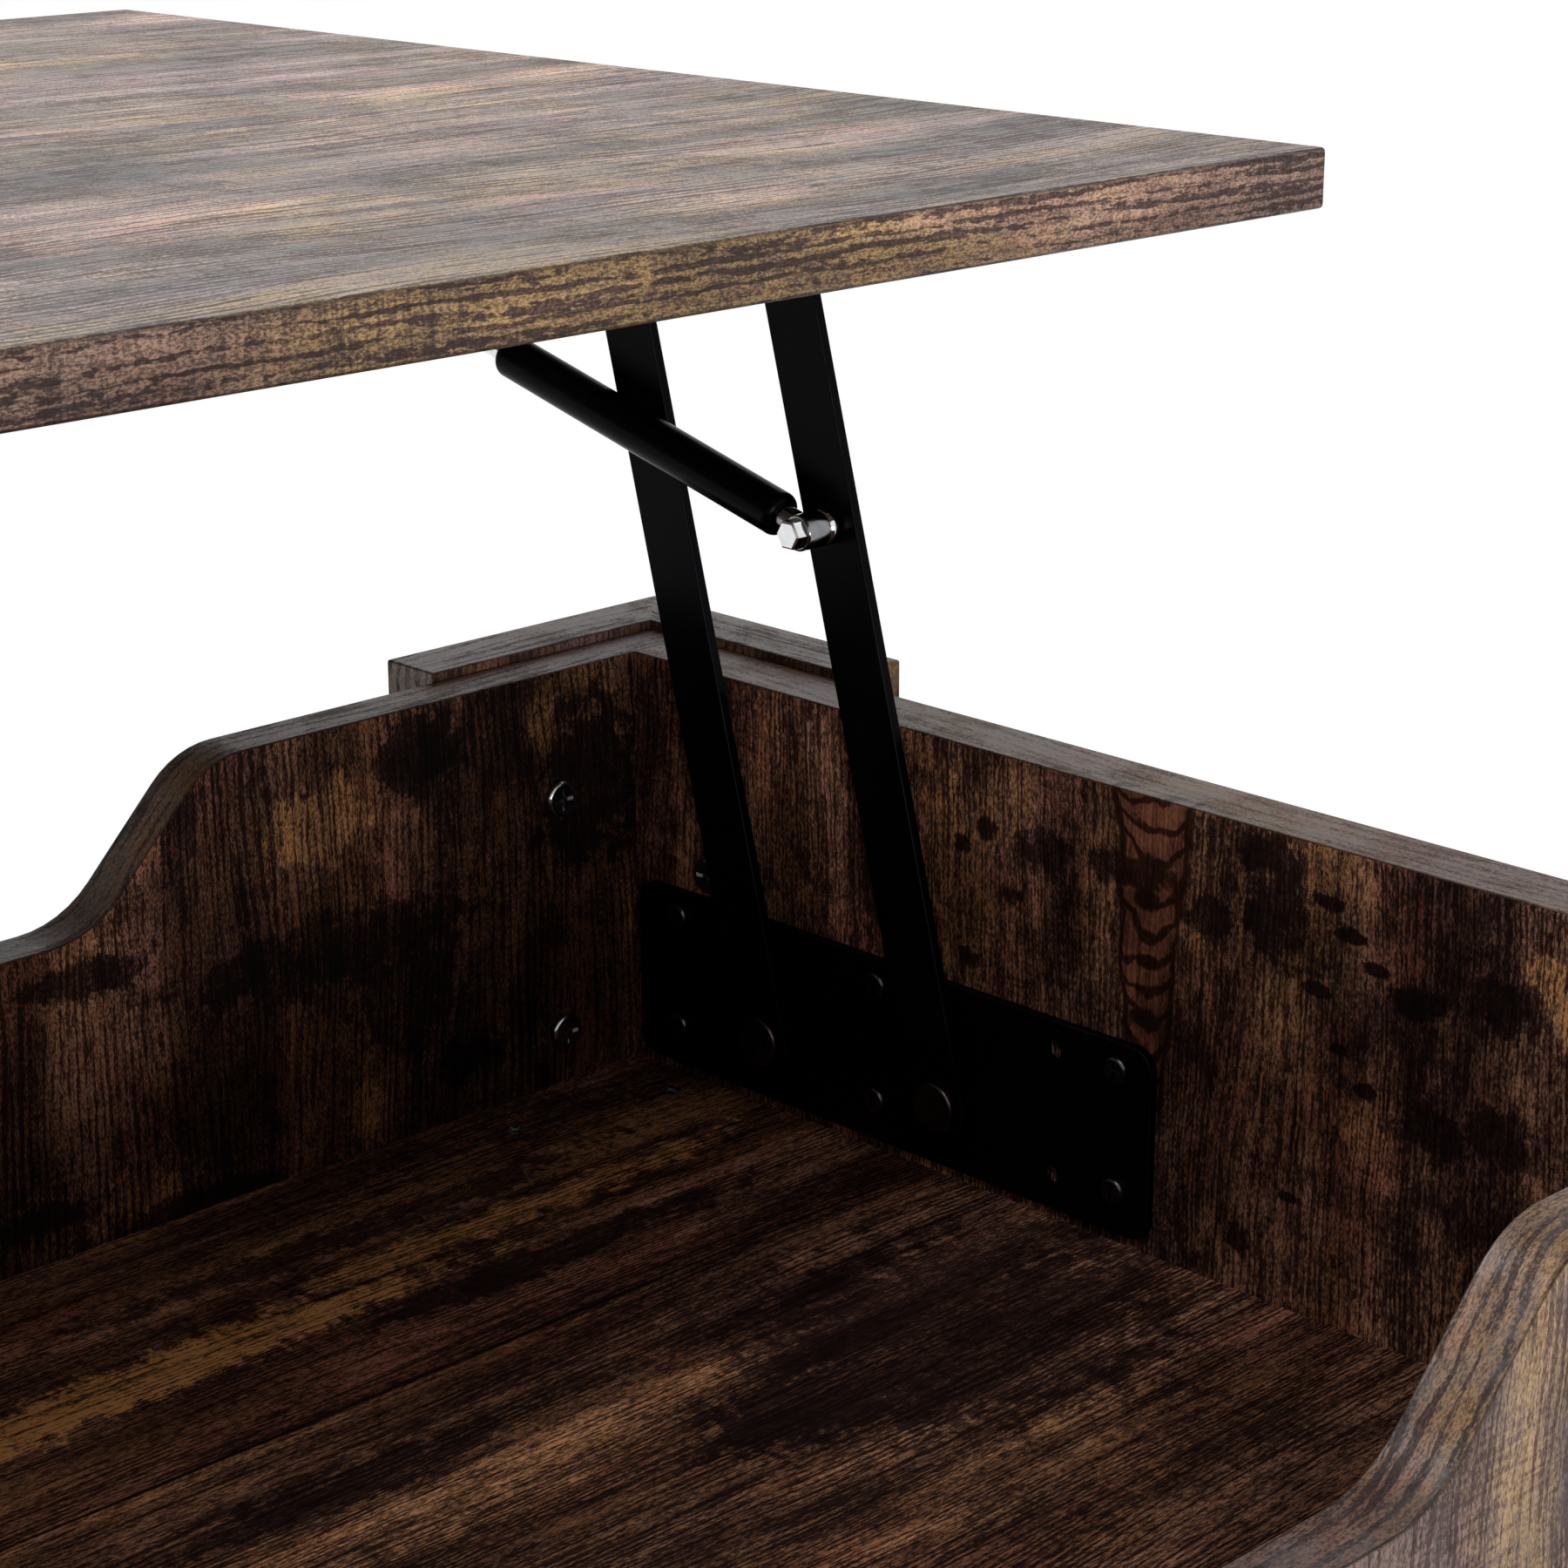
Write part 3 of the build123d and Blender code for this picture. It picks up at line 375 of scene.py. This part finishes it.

# ---------------------------------------------------------------- side panels
# Front and back walls of the tray, of the same chipboard. The print stands upright on their faces,
# and the band on the rim follows the dip. Their faces inside the tray are printed darker, redder
# and with more contrast than their outer faces: painted shade.
tray_middle = (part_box("front_panel")[0][1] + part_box("back_panel")[1][1]) / 2.0
side_panel_reach = 0.2  # from the tray's middle to between a side panel's two faces
front_inner_face = -0.05
# painted shade: inside the tray the same laminate is printed darker, redder and with more contrast
tray_shade_looks = {
    "Base": 0.047, "Contrast": 1.35, "Warmth": 2.0, "Pitch": 0.0024, "Broken": 0.5, "Cross": 0.6,
    "Stain": 1.0, "Ochre": 0.45, "Grey": 0.1,
}
outer_looks = {"Base": 0.17, "Contrast": 0.7, "Warmth": 1.25, "Stain": 0.6, "Grey": 0.4}
rim_looks = {
    "Base": 0.055, "Contrast": 1.0, "Warmth": 1.9, "Pitch": 0.0036, "Broken": 0.2, "Cross": 0.2,
    "Stain": 0.3, "Grey": 0.4,
}
tray_finish = {"gloss": (0.55, 0.75), "shine": 0.05, "band_shine": 0.75}
patch_depth = 0.008  # how far a patch reaches from its plane, less than a board is thick
ragged_cells = 110.0  # per metre


def vector_calc(tree, operation, a, b=None):
    """A vector operation's outputs: a length comes out at Value and all else at Vector."""
    made = node(tree, "ShaderNodeVectorMath", operation=operation)
    feed(tree, made.inputs[0], a)
    feed(tree, made.inputs[1], b)
    return made.outputs


def patch_mask():
    """A patch round Centre, as wide as Size each way. Ragged is added to the distance from it."""
    tree, given, result = group_tree(
        "patch_mask",
        [
            ("Place", "vector", None),
            ("Centre", "vector", None),
            ("Size", "vector", (0.02, 0.02, 0.02)),
            ("Ragged", "float", 0.0),
        ],
        [("Mask", "float", None)],
    )
    off = vector_calc(tree, "SUBTRACT", given.outputs["Place"], given.outputs["Centre"])["Vector"]
    by_size = vector_calc(tree, "DIVIDE", off, given.outputs["Size"])["Vector"]
    far = calc(tree, "ADD", vector_calc(tree, "LENGTH", by_size)["Value"], given.outputs["Ragged"])
    feed(tree, result.inputs["Mask"], between(tree, far, 0.6, 1.05, 1.0, 0.0))


def object_place(tree):
    return node(tree, "ShaderNodeTexCoord").outputs["Object"]


def patches_on(tree, axis, level, rows, ragged=3.0):
    """The strongest of several patches on the plane where an axis is at a level. A row has the
    patch's place on the two other axes, its size on both, and its strength."""
    place = object_place(tree)
    noise = calc(tree, "SUBTRACT", clouds(tree, place, ragged_cells, 6.0, 0.75), 0.5)
    noise = times(tree, noise, ragged)
    strongest = 0.0
    for *flat, strength in rows:
        centre, size = flat[:2], flat[2:]
        centre.insert("XYZ".index(axis), level)
        size.insert("XYZ".index(axis), patch_depth)
        patch = placed(tree, "patch_mask", Place=place, Centre=centre, Size=size, Ragged=noise)
        strongest = larger(tree, times(tree, patch.outputs["Mask"], strength), strongest)
    return strongest


patch_mask()
side_board, pattern, on_face = board_print(
    "side_panel_board", "Y", "Z", "X", outer_looks, rim_looks,
    inner=("Y", tray_middle, side_panel_reach, tray_shade_looks), **tray_finish,
)
tree = side_board.node_tree
dark_marks = patches_on(tree, "Y", front_inner_face, [
    (-0.250, 0.364, 0.022, 0.006, 0.9),
    (-0.330, 0.352, 0.050, 0.012, 0.7),
    (-0.357, 0.400, 0.016, 0.014, 0.8),
    (-0.419, 0.380, 0.020, 0.028, 0.9),
    (-0.372, 0.308, 0.016, 0.007, 0.8),
    (-0.283, 0.293, 0.030, 0.006, 0.9),
    (-0.235, 0.303, 0.020, 0.005, 0.8),
    (-0.350, 0.330, 0.020, 0.018, 0.6),
])
sapwood = patches_on(tree, "Y", front_inner_face, [
    (-0.334, 0.306, 0.008, 0.009, 0.55),
    (-0.322, 0.387, 0.022, 0.012, 0.7),
    (-0.400, 0.400, 0.010, 0.012, 0.6),
    (-0.262, 0.300, 0.024, 0.009, 0.6),
])
feed(tree, pattern.inputs["Mark"], times(tree, dark_marks, on_face))
feed(tree, pattern.inputs["Glow"], times(tree, sapwood, on_face))
dress(side_board, "front_panel", "back_panel")

# ---------------------------------------------------------------- end panels
# Short walls of the tray, screwed between the side panels, with the print upright. They carry the
# hinges, and a strip of heartwood with stacked rings and knots runs down the left one.
left_inner_face = -0.435
end_panel_reach = 0.442  # from the table's middle to between an end panel's two faces
# painted shade: their inner faces take the tray's darker, more contrasty print, a little lighter than
# the side panels'
end_board, pattern, on_face = board_print(
    "end_panel_board", "X", "Z", "Y", outer_looks,
    {**rim_looks, "Base": 0.080, "Contrast": 0.7, "Lines": 0.6, "Grey": 0.1},
    inner=("X", 0.0, end_panel_reach, {
        **tray_shade_looks, "Base": 0.130, "Warmth": 1.85, "Pitch": 0.0015, "Lines": 0.9, "Broken": 0.7,
    }),
    shift=(0.4, 0.2, 0.0), **tray_finish,
)
tree = end_board.node_tree
dark_marks = patches_on(tree, "X", left_inner_face, [
    (0.1780, 0.3920, 0.0110, 0.0140, 0.9),
    (0.1050, 0.3900, 0.0100, 0.0080, 0.8),
    (0.2440, 0.3860, 0.0100, 0.0080, 0.8),
    (0.2440, 0.3540, 0.0110, 0.0080, 0.6),
    (0.2250, 0.3500, 0.0120, 0.0070, 0.8),
    (0.1340, 0.3920, 0.0180, 0.0050, 0.8),
    (0.1580, 0.3860, 0.0080, 0.0060, 0.9),
    (0.1760, 0.4060, 0.0090, 0.0060, 0.9),
    (0.2505, 0.3260, 0.0200, 0.0080, 0.4),
    (0.2030, 0.3260, 0.0200, 0.0060, 0.3),
    (0.1930, 0.3990, 0.0045, 0.0022, 1.15),
    (0.2000, 0.3920, 0.0045, 0.0022, 1.15),
    (0.2070, 0.3855, 0.0042, 0.0020, 1.15),
    (0.1905, 0.3766, 0.0045, 0.0020, 1.15),
    (0.1980, 0.3630, 0.0048, 0.0020, 1.15),
    (0.2060, 0.3550, 0.0044, 0.0020, 1.15),
    (0.2210, 0.3810, 0.0100, 0.0045, 0.9),
    (0.1850, 0.3210, 0.0050, 0.0022, 0.9),
    (0.1700, 0.3046, 0.0040, 0.0040, 0.9),
    (0.0770, 0.3855, 0.0040, 0.0030, 0.9),
    (0.0845, 0.3920, 0.0040, 0.0030, 0.9),
    (0.0940, 0.3760, 0.0050, 0.0030, 0.8),
    (0.0786, 0.3550, 0.0040, 0.0030, 0.8),
])
sapwood = patches_on(tree, "X", left_inner_face, [
    (0.258, 0.393, 0.010, 0.014, 0.8),
    (0.205, 0.344, 0.010, 0.007, 0.4),
    (0.156, 0.372, 0.010, 0.018, 0.35),
    (0.122, 0.380, 0.008, 0.022, 0.35),
    (0.185, 0.360, 0.012, 0.014, 0.15),
])
knots = patches_on(tree, "X", left_inner_face, [
    (0.1386, 0.3860, 0.0050, 0.0034, 1.0),
    (0.1390, 0.3760, 0.0036, 0.0022, 0.8),
    (0.1392, 0.3696, 0.0050, 0.0022, 0.9),
    (0.1390, 0.3545, 0.0058, 0.0030, 1.0),
    (0.1380, 0.3455, 0.0026, 0.0020, 0.7),
    (0.1380, 0.3380, 0.0050, 0.0030, 0.9),
], ragged=1.0)
strip_middle = 0.139
strip_taper, strip_taper_start = 0.085, -0.02285  # half its width is taper times height, plus start
strip_edge = 0.95  # of half its width
strip_foot = (0.322, 0.332)  # heights where it fades in
strip_skin = (0.004, 0.006)  # depths under the inner face where it fades out
ring_pitch, ring_strength = 0.0085, 0.75
cup_depth = 0.9  # rings: each one stands this much higher at the strip's sides than in its middle
side_waver, cup_waver = 0.7, 2.6
place = split(tree, object_place(tree))
waver = clouds(tree, scaled(tree, object_place(tree), (40.0, 70.0, 60.0)), 1.0, 3.0)
waver = calc(tree, "SUBTRACT", waver, 0.5)
half = calc(tree, "MULTIPLY_ADD", place["Z"], strip_taper, strip_taper_start)
sideways = calc(tree, "DIVIDE", calc(tree, "SUBTRACT", place["Y"], strip_middle), half)
sideways = calc(tree, "MULTIPLY_ADD", waver, side_waver, sideways)
offset = calc(tree, "ABSOLUTE", sideways)
from_inner_face = calc(tree, "ABSOLUTE", calc(tree, "SUBTRACT", place["X"], left_inner_face))
strip = between(tree, offset, strip_edge, 1.12, 1.0, 0.0)
strip = times(tree, strip, between(tree, place["Z"], *strip_foot))
strip = times(tree, strip, between(tree, from_inner_face, *strip_skin, 1.0, 0.0))
stacked = calc(tree, "DIVIDE", place["Z"], ring_pitch)
cups = calc(tree, "MULTIPLY_ADD", times(tree, sideways, sideways), -cup_depth, stacked)
cups = calc(tree, "MULTIPLY_ADD", waver, cup_waver, cups)
rings = between(tree, calc(tree, "SINE", times(tree, cups, 2.0 * math.pi)), 0.3, 0.95)
from_side = calc(tree, "ABSOLUTE", calc(tree, "SUBTRACT", offset, strip_edge))
side_line = between(tree, from_side, 0.04, 0.14, 1.0, 0.0)
rings = times(tree, times(tree, larger(tree, rings, side_line), strip), ring_strength)
marked = larger(tree, rings, times(tree, knots, on_face))
marked = larger(tree, times(tree, dark_marks, on_face), marked)
feed(tree, pattern.inputs["Mark"], marked)
feed(tree, pattern.inputs["Glow"], times(tree, sapwood, on_face))
feed(tree, pattern.inputs["Heart"], times(tree, strip, on_face))
dress(end_board, "left_end_panel", "right_end_panel")

# ---------------------------------------------------------------- tray floor
# A single board, screwed down onto battens. Its print runs along the table, with a yellow sapwood
# streak, a large dark patch of painted shade near the left end panel and the printed joints of its
# planks. Its broad faces take the tray's darker print, painted shade as on the walls inside it.
floor_face = 0.2915
joint_width = 0.0008
floor_board, pattern, on_face = board_print(
    "tray_floor_board", "Z", "X", "X",
    {
        **tray_shade_looks, "Base": 0.118, "Warmth": 1.85, "Pitch": 0.0016, "Lines": 1.1, "Stain": 0.8,
        "Ochre": 0.4,
    },
    rim_looks, shift=(0.9, 0.6, 0.0), gloss=(0.62, 0.8), shine=0.04, stretch=0.55,
)
tree = floor_board.node_tree
dark_marks = patches_on(tree, "Z", floor_face, [
    (-0.320, 0.140, 0.040, 0.020, 0.9),
    (-0.345, 0.158, 0.030, 0.014, 0.7),
    (-0.300, -0.010, 0.090, 0.008, 0.7),
    (-0.330, 0.036, 0.070, 0.008, 0.8),
    (-0.220, 0.095, 0.050, 0.008, 0.6),
    (-0.400, 0.110, 0.040, 0.012, 0.6),
    # painted shade: the large dark patch near the left end panel, under the hinge arms
    (-0.372, 0.136, 0.066, 0.052, 0.62),
])
sapwood = patches_on(tree, "Z", floor_face, [
    (-0.215, 0.021, 0.100, 0.012, 1.4),
    (-0.330, 0.010, 0.090, 0.008, 1.1),
    (-0.268, 0.120, 0.030, 0.016, 0.3),
    (-0.240, 0.0675, 0.110, 0.0030, 0.5),
])
joints = patches_on(tree, "Z", floor_face, [
    (-0.270, 0.0650, 0.160, joint_width, 1.3),
    (0.100, 0.0650, 0.120, joint_width, 1.1),
    (0.180, 0.2300, 0.300, joint_width, 1.1),
], ragged=0.6)
feed(tree, pattern.inputs["Mark"], times(tree, larger(tree, dark_marks, joints), on_face))
feed(tree, pattern.inputs["Glow"], times(tree, sapwood, on_face))
dress(floor_board, "tray_floor")

# ---------------------------------------------------------------- shelf and its rails
# A board screwed down onto two rails, which are bolted between the posts. The shelf's print runs
# along the table, and that of each rail along the rail.
plank_looks = {"Base": 0.17, "Contrast": 0.8, "Warmth": 1.2, "Stain": 0.7, "Grey": 0.4}
shelf_board = board_print(
    "shelf_board", "Z", "X", "X", plank_looks, band_looks, shift=(0.2, 0.9, 0.0),
)[0]
rail_board = board_print(
    "shelf_rail_board", "X", "Y", "Y", plank_looks, band_looks, shift=(0.7, 0.1, 0.0),
)[0]
dress(shelf_board, "lower_shelf")
dress(rail_board, "left_shelf_rail", "right_shelf_rail")

# ---------------------------------------------------------------- corner posts
# Each post is two boards mitred at the outer corner, with the print upright and banded tops. The
# faces turned towards the tray are printed as dark as its inside: painted shade.
# painted shade: the posts' faces turned towards the tray get a darker print
inward_shade_looks = {"Base": 0.07, "Warmth": 1.6}
behind_panels = 0.002  # how far past the panels' outer faces the dark inward faces reach
side_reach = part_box("back_panel")[1][1] - tray_middle + behind_panels
end_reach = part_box("right_end_panel")[1][0] + behind_panels
posts = [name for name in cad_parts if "_post_" in name]
post_side_board = board_print(
    "post_side_board", "Y", "Z", "X", outer_looks, rim_looks, shift=(0.3, 0.5, 0.0),
    inner=("Y", tray_middle, side_reach, inward_shade_looks), **tray_finish,
)[0]
post_end_board = board_print(
    "post_end_board", "X", "Z", "Y", outer_looks, rim_looks, shift=(0.6, 0.8, 0.0),
    inner=("X", 0.0, end_reach, inward_shade_looks), **tray_finish,
)[0]
dress(post_side_board, *[name for name in posts if "side" in name])
dress(post_end_board, *[name for name in posts if "end" in name])

# ---------------------------------------------------------------- battens
# Bearers of plain softwood, planed, left bare and screwed to the panels under the tray's floor,
# with their growth rings as darker streaks along them.
pale_wood, ring_wood = (0.42, 0.30, 0.17, 1.0), (0.30, 0.19, 0.095, 1.0)
bare, tree, shader = new_material("bare_softwood")
rings = clouds(tree, scaled(tree, object_place(tree), (8.0, 240.0, 240.0)), 1.0, 3.0, 0.6)
colour = blend(tree, between(tree, rings, 0.35, 0.65), pale_wood, ring_wood)
feed(tree, shader.inputs["Base Color"], colour)
feed(tree, shader.inputs["Roughness"], between(tree, rings, 0.3, 0.7, 0.6, 0.75))
dress(bare, "side_battens", "end_battens")


# ---------------------------------------------------------------- hinge plates, arms and brackets
# Pressed steel strip, riveted together and stove-enamelled gloss black, with the slight orange
# peel of the enamel. It is rubbed a little paler along its eased edges, a paleness that is also a
# painted highlight along those edges.
def surface_haze():
    """Haze: dust and wear in soft patches. Grain: the fine roughness of a coated surface."""
    tree, given, result = group_tree(
        "surface_haze",
        [("Place", "vector", None), ("Coarse", "float", 35.0), ("Fine", "float", 900.0)],
        [("Haze", "float", None), ("Grain", "float", None)],
    )
    for label, cells, detail in (("Haze", "Coarse", 4.0), ("Grain", "Fine", 2.0)):
        value = clouds(tree, given.outputs["Place"], given.outputs[cells], detail, 0.6)
        feed(tree, result.inputs[label], value)


def coated(name, coarse, fine, bump_strength):
    """A material with its fine bump ready: returns it, its tree, its shader and its haze."""
    grain_depth = 0.0002
    material, tree, shader = new_material(name)
    surface = placed(tree, "surface_haze", Place=object_place(tree), Coarse=coarse, Fine=fine)
    bump = node(tree, "ShaderNodeBump")
    bump.inputs["Strength"].default_value = bump_strength
    bump.inputs["Distance"].default_value = grain_depth
    feed(tree, bump.inputs["Height"], surface.outputs["Grain"])
    feed(tree, shader.inputs["Normal"], bump.outputs[0])
    return material, tree, shader, surface.outputs["Haze"]


def enamel(name, colour, rough_low, rough_high, rubbed_highlight_edges):
    dusty, rubbed_highlight_steel = (0.004, 0.004, 0.006, 1.0), (0.020, 0.020, 0.026, 1.0)
    enamel_shine = 0.03
    material, tree, shader, haze = coated(name, coarse=35.0, fine=900.0, bump_strength=0.06)
    tint = blend(tree, between(tree, haze, 0.45, 0.75, 0.0, 0.5), colour, dusty)
    # rubbed wear and painted highlight: the eased edges are tinted paler, in patches that follow the
    # haze
    if rubbed_highlight_edges:
        normal = split(tree, node(tree, "ShaderNodeTexCoord").outputs["Normal"])
        facing = calc(tree, "ABSOLUTE", normal["X"])
        eased = times(
            tree, between(tree, facing, 0.15, 0.45), between(tree, facing, 0.75, 0.95, 1.0, 0.0),
        )
        rubbed_highlight = times(tree, eased, between(tree, haze, 0.40, 0.65, 0.2, 0.9))
        tint = blend(tree, rubbed_highlight, tint, rubbed_highlight_steel)
    feed(tree, shader.inputs["Base Color"], tint)
    feed(tree, shader.inputs["Roughness"], between(tree, haze, 0.3, 0.7, rough_low, rough_high))
    shader.inputs["Specular IOR Level"].default_value = enamel_shine
    return material


surface_haze()
black = enamel("black_enamel", (0.0012, 0.0012, 0.0022, 1.0), 0.28, 0.38, rubbed_highlight_edges=True)
for end in ("left", "right"):
    dress(black, f"{end}_base_plate", f"{end}_top_bracket", f"{end}_front_arm", f"{end}_rear_arm")


# ---------------------------------------------------------------- gas struts
# A drawn tube in black enamel with a crimped gland, and a hard-chromed rod. The screwed-on eyes
# are plated darker than the chromed studs and nuts that hold them.
def plated(name, colour, rough_low, rough_high):
    material, tree, shader, haze = coated(name, coarse=500.0, fine=3000.0, bump_strength=0.03)
    dull = tuple(channel * 0.6 for channel in colour[:3]) + (1.0,)
    tint = blend(tree, between(tree, haze, 0.35, 0.75, 0.0, 0.35), colour, dull)
    feed(tree, shader.inputs["Base Color"], tint)
    feed(tree, shader.inputs["Roughness"], between(tree, haze, 0.3, 0.7, rough_low, rough_high))
    shader.inputs["Metallic"].default_value = 1.0
    return material


strut_black = enamel("strut_enamel", (0.0012, 0.0012, 0.002, 1.0), 0.20, 0.30, rubbed_highlight_edges=False)
chrome = plated("bright_chrome", (0.78, 0.78, 0.80, 1.0), 0.06, 0.14)
dull_plate = plated("dull_plate", (0.24, 0.24, 0.25, 1.0), 0.12, 0.22)
for end in ("left", "right"):
    dress(strut_black, f"{end}_strut_barrel", f"{end}_strut_gland")
    dress(dull_plate, f"{end}_strut_eye", f"{end}_rod_eye")
    dress(chrome, f"{end}_strut_rod", f"{end}_arm_stud", f"{end}_bracket_stud")
    dress(chrome, f"{end}_arm_stud_collar", f"{end}_arm_stud_nut")
dress(chrome, "bracket_stud_collars", "bracket_stud_nuts")

# ---------------------------------------------------------------- rivets and washers
# Cold-headed steel rivets, blued, that hold the arms to the plates and brackets and turn on plain
# washers of the same steel.
blued_steel = plated("blued_steel", (0.07, 0.055, 0.055, 1.0), 0.22, 0.35)
dress(
    blued_steel,
    "lower_pivot_rivets", "lower_pivot_washers", "upper_pivot_rivets", "upper_pivot_washers",
)

# ---------------------------------------------------------------- bolts and screws
# Steel with a cross recess. The long bolts are dark bright-plated, the screws of the tray's floor
# and of the shelf zinc-plated, and all others black-zinced.
dark_plate = plated("dark_plate", (0.38, 0.38, 0.40, 1.0), 0.12, 0.24)
white_zinc = plated("white_zinc", (0.66, 0.67, 0.70, 1.0), 0.20, 0.32)
black_zinc = plated("black_zinc", (0.07, 0.07, 0.075, 1.0), 0.20, 0.32)
dress(dark_plate, "side_panel_bolts", "end_frame_bolts")
dress(white_zinc, "tray_floor_screws", "shelf_screws")
dress(black_zinc, "side_batten_screws", "end_batten_screws", "base_plate_screws", "bracket_screws")

# ---------------------------------------------------------------- foot glides
# Moulded discs of black plastic, each nailed into a post's end from below and scuffed paler by
# the room's floor.
fresh_plastic, scuffed_plastic = (0.02, 0.02, 0.02, 1.0), (0.05, 0.05, 0.05, 1.0)
plastic, tree, shader, scuffs = coated("glide_plastic", coarse=700.0, fine=2500.0, bump_strength=0.15)
colour = blend(tree, between(tree, scuffs, 0.45, 0.7), fresh_plastic, scuffed_plastic)
feed(tree, shader.inputs["Base Color"], colour)
feed(tree, shader.inputs["Roughness"], between(tree, scuffs, 0.3, 0.7, 0.45, 0.65))
dress(plastic, "foot_glides")


# ---------------------------------------------------------------- studio
# A pale floor that runs out into white and is open to view from below, a large soft lamp beyond
# the table and two lesser ones, and an even white surround.
def seen_by_eye(tree, rays):
    """1 for what is seen directly, in gloss or through glass, and 0 for what only gives light."""
    seen = larger(tree, rays.outputs["Is Camera Ray"], rays.outputs["Is Glossy Ray"])
    return larger(tree, seen, rays.outputs["Is Transmission Ray"])


def layered(tree, share, under, over):
    """One shader over another."""
    made = node(tree, "ShaderNodeMixShader")
    for socket, value in zip(made.inputs, (share, under, over)):
        feed(tree, socket, value)
    return made.outputs[0]


def softbox(name, size, watts, place, aim):
    light = bpy.data.lights.new(name, "AREA")
    light.shape = "RECTANGLE"
    light.size, light.size_y = size
    light.energy = watts
    lamp = bpy.data.objects.new(name, light)
    bpy.context.scene.collection.objects.link(lamp)
    turn = (Vector(aim) - Vector(place)).to_track_quat("-Z", "Y").to_matrix().to_4x4()
    lamp.matrix_world = Matrix.Translation(place) @ turn


floor_radius = 6.0
paper_white, paper_roughness = (0.86, 0.86, 0.86, 1.0), 0.9
white_from, white_beyond = 0.75, 1.25  # metres from the middle, where the floor turns white
bpy.ops.object.select_all(action="DESELECT")
bpy.ops.mesh.primitive_circle_add(
    vertices=96, radius=floor_radius, fill_type="NGON", location=(0.0, 0.0, 0.0),
)
floor = bpy.context.object
floor.name = "studio_floor"
paper, tree, shader = new_material("white_paper")
shader.inputs["Base Color"].default_value = paper_white
shader.inputs["Roughness"].default_value = paper_roughness
shader.inputs["Specular IOR Level"].default_value = 0.0
rays = node(tree, "ShaderNodeLightPath")
reach = vector_calc(tree, "LENGTH", object_place(tree))["Value"]
far = times(tree, seen_by_eye(tree, rays), between(tree, reach, white_from, white_beyond))
white = node(tree, "ShaderNodeEmission").outputs[0]
from_below = node(tree, "ShaderNodeNewGeometry").outputs["Backfacing"]
from_below = times(tree, from_below, rays.outputs["Is Camera Ray"])
clear = node(tree, "ShaderNodeBsdfTransparent").outputs[0]
surface = layered(tree, from_below, layered(tree, far, shader.outputs[0], white), clear)
feed(tree, tree.nodes["Material Output"].inputs["Surface"], surface)
floor.data.materials.append(paper)

surround_light = 0.16
world = bpy.data.worlds.new("studio_surround")
bpy.context.scene.world = world
world.use_nodes = True
tree = world.node_tree
seen = seen_by_eye(tree, node(tree, "ShaderNodeLightPath"))
strength = calc(tree, "MULTIPLY_ADD", seen, 1.0 - surround_light, surround_light)
tree.nodes["Background"].inputs["Color"].default_value = (1.0, 1.0, 1.0, 1.0)
feed(tree, tree.nodes["Background"].inputs["Strength"], strength)

softbox("key_softbox", (1.6, 1.2), 95.0, place=(0.2, -2.0, 2.5), aim=(0.0, 0.0, 0.5))
softbox("overhead_softbox", (0.6, 0.5), 7.0, place=(0.75, 0.42, 1.9), aim=(0.0, 0.30, 0.3))
softbox("low_softbox", (1.6, 0.5), 34.0, place=(0.7, 2.6, 0.45), aim=(0.0, 0.3, 0.45))

# ---------------------------------------------------------------- camera
# Behind the right end of the table and a little above its raised top, looking down into the far
# corner of the tray.
eye = Vector((0.20690, 0.66559, 0.67771))
ahead = Vector((-0.66726, -0.68079, -0.30216)).normalized()
right = Vector((-0.71373, 0.70042, -0.00197))
right = (right - ahead * right.dot(ahead)).normalized()
up = right.cross(ahead)
camera = bpy.data.objects.new("camera", bpy.data.cameras.new("camera"))
bpy.context.scene.collection.objects.link(camera)
camera.data.lens = 81.64
camera.data.sensor_width = 36.0
camera.data.clip_start = 0.02
camera.matrix_world = Matrix((
    (right.x, up.x, -ahead.x, eye.x),
    (right.y, up.y, -ahead.y, eye.y),
    (right.z, up.z, -ahead.z, eye.z),
    (0.0, 0.0, 0.0, 1.0),
))
bpy.context.scene.camera = camera
bpy.context.scene.view_settings.view_transform = "Standard"
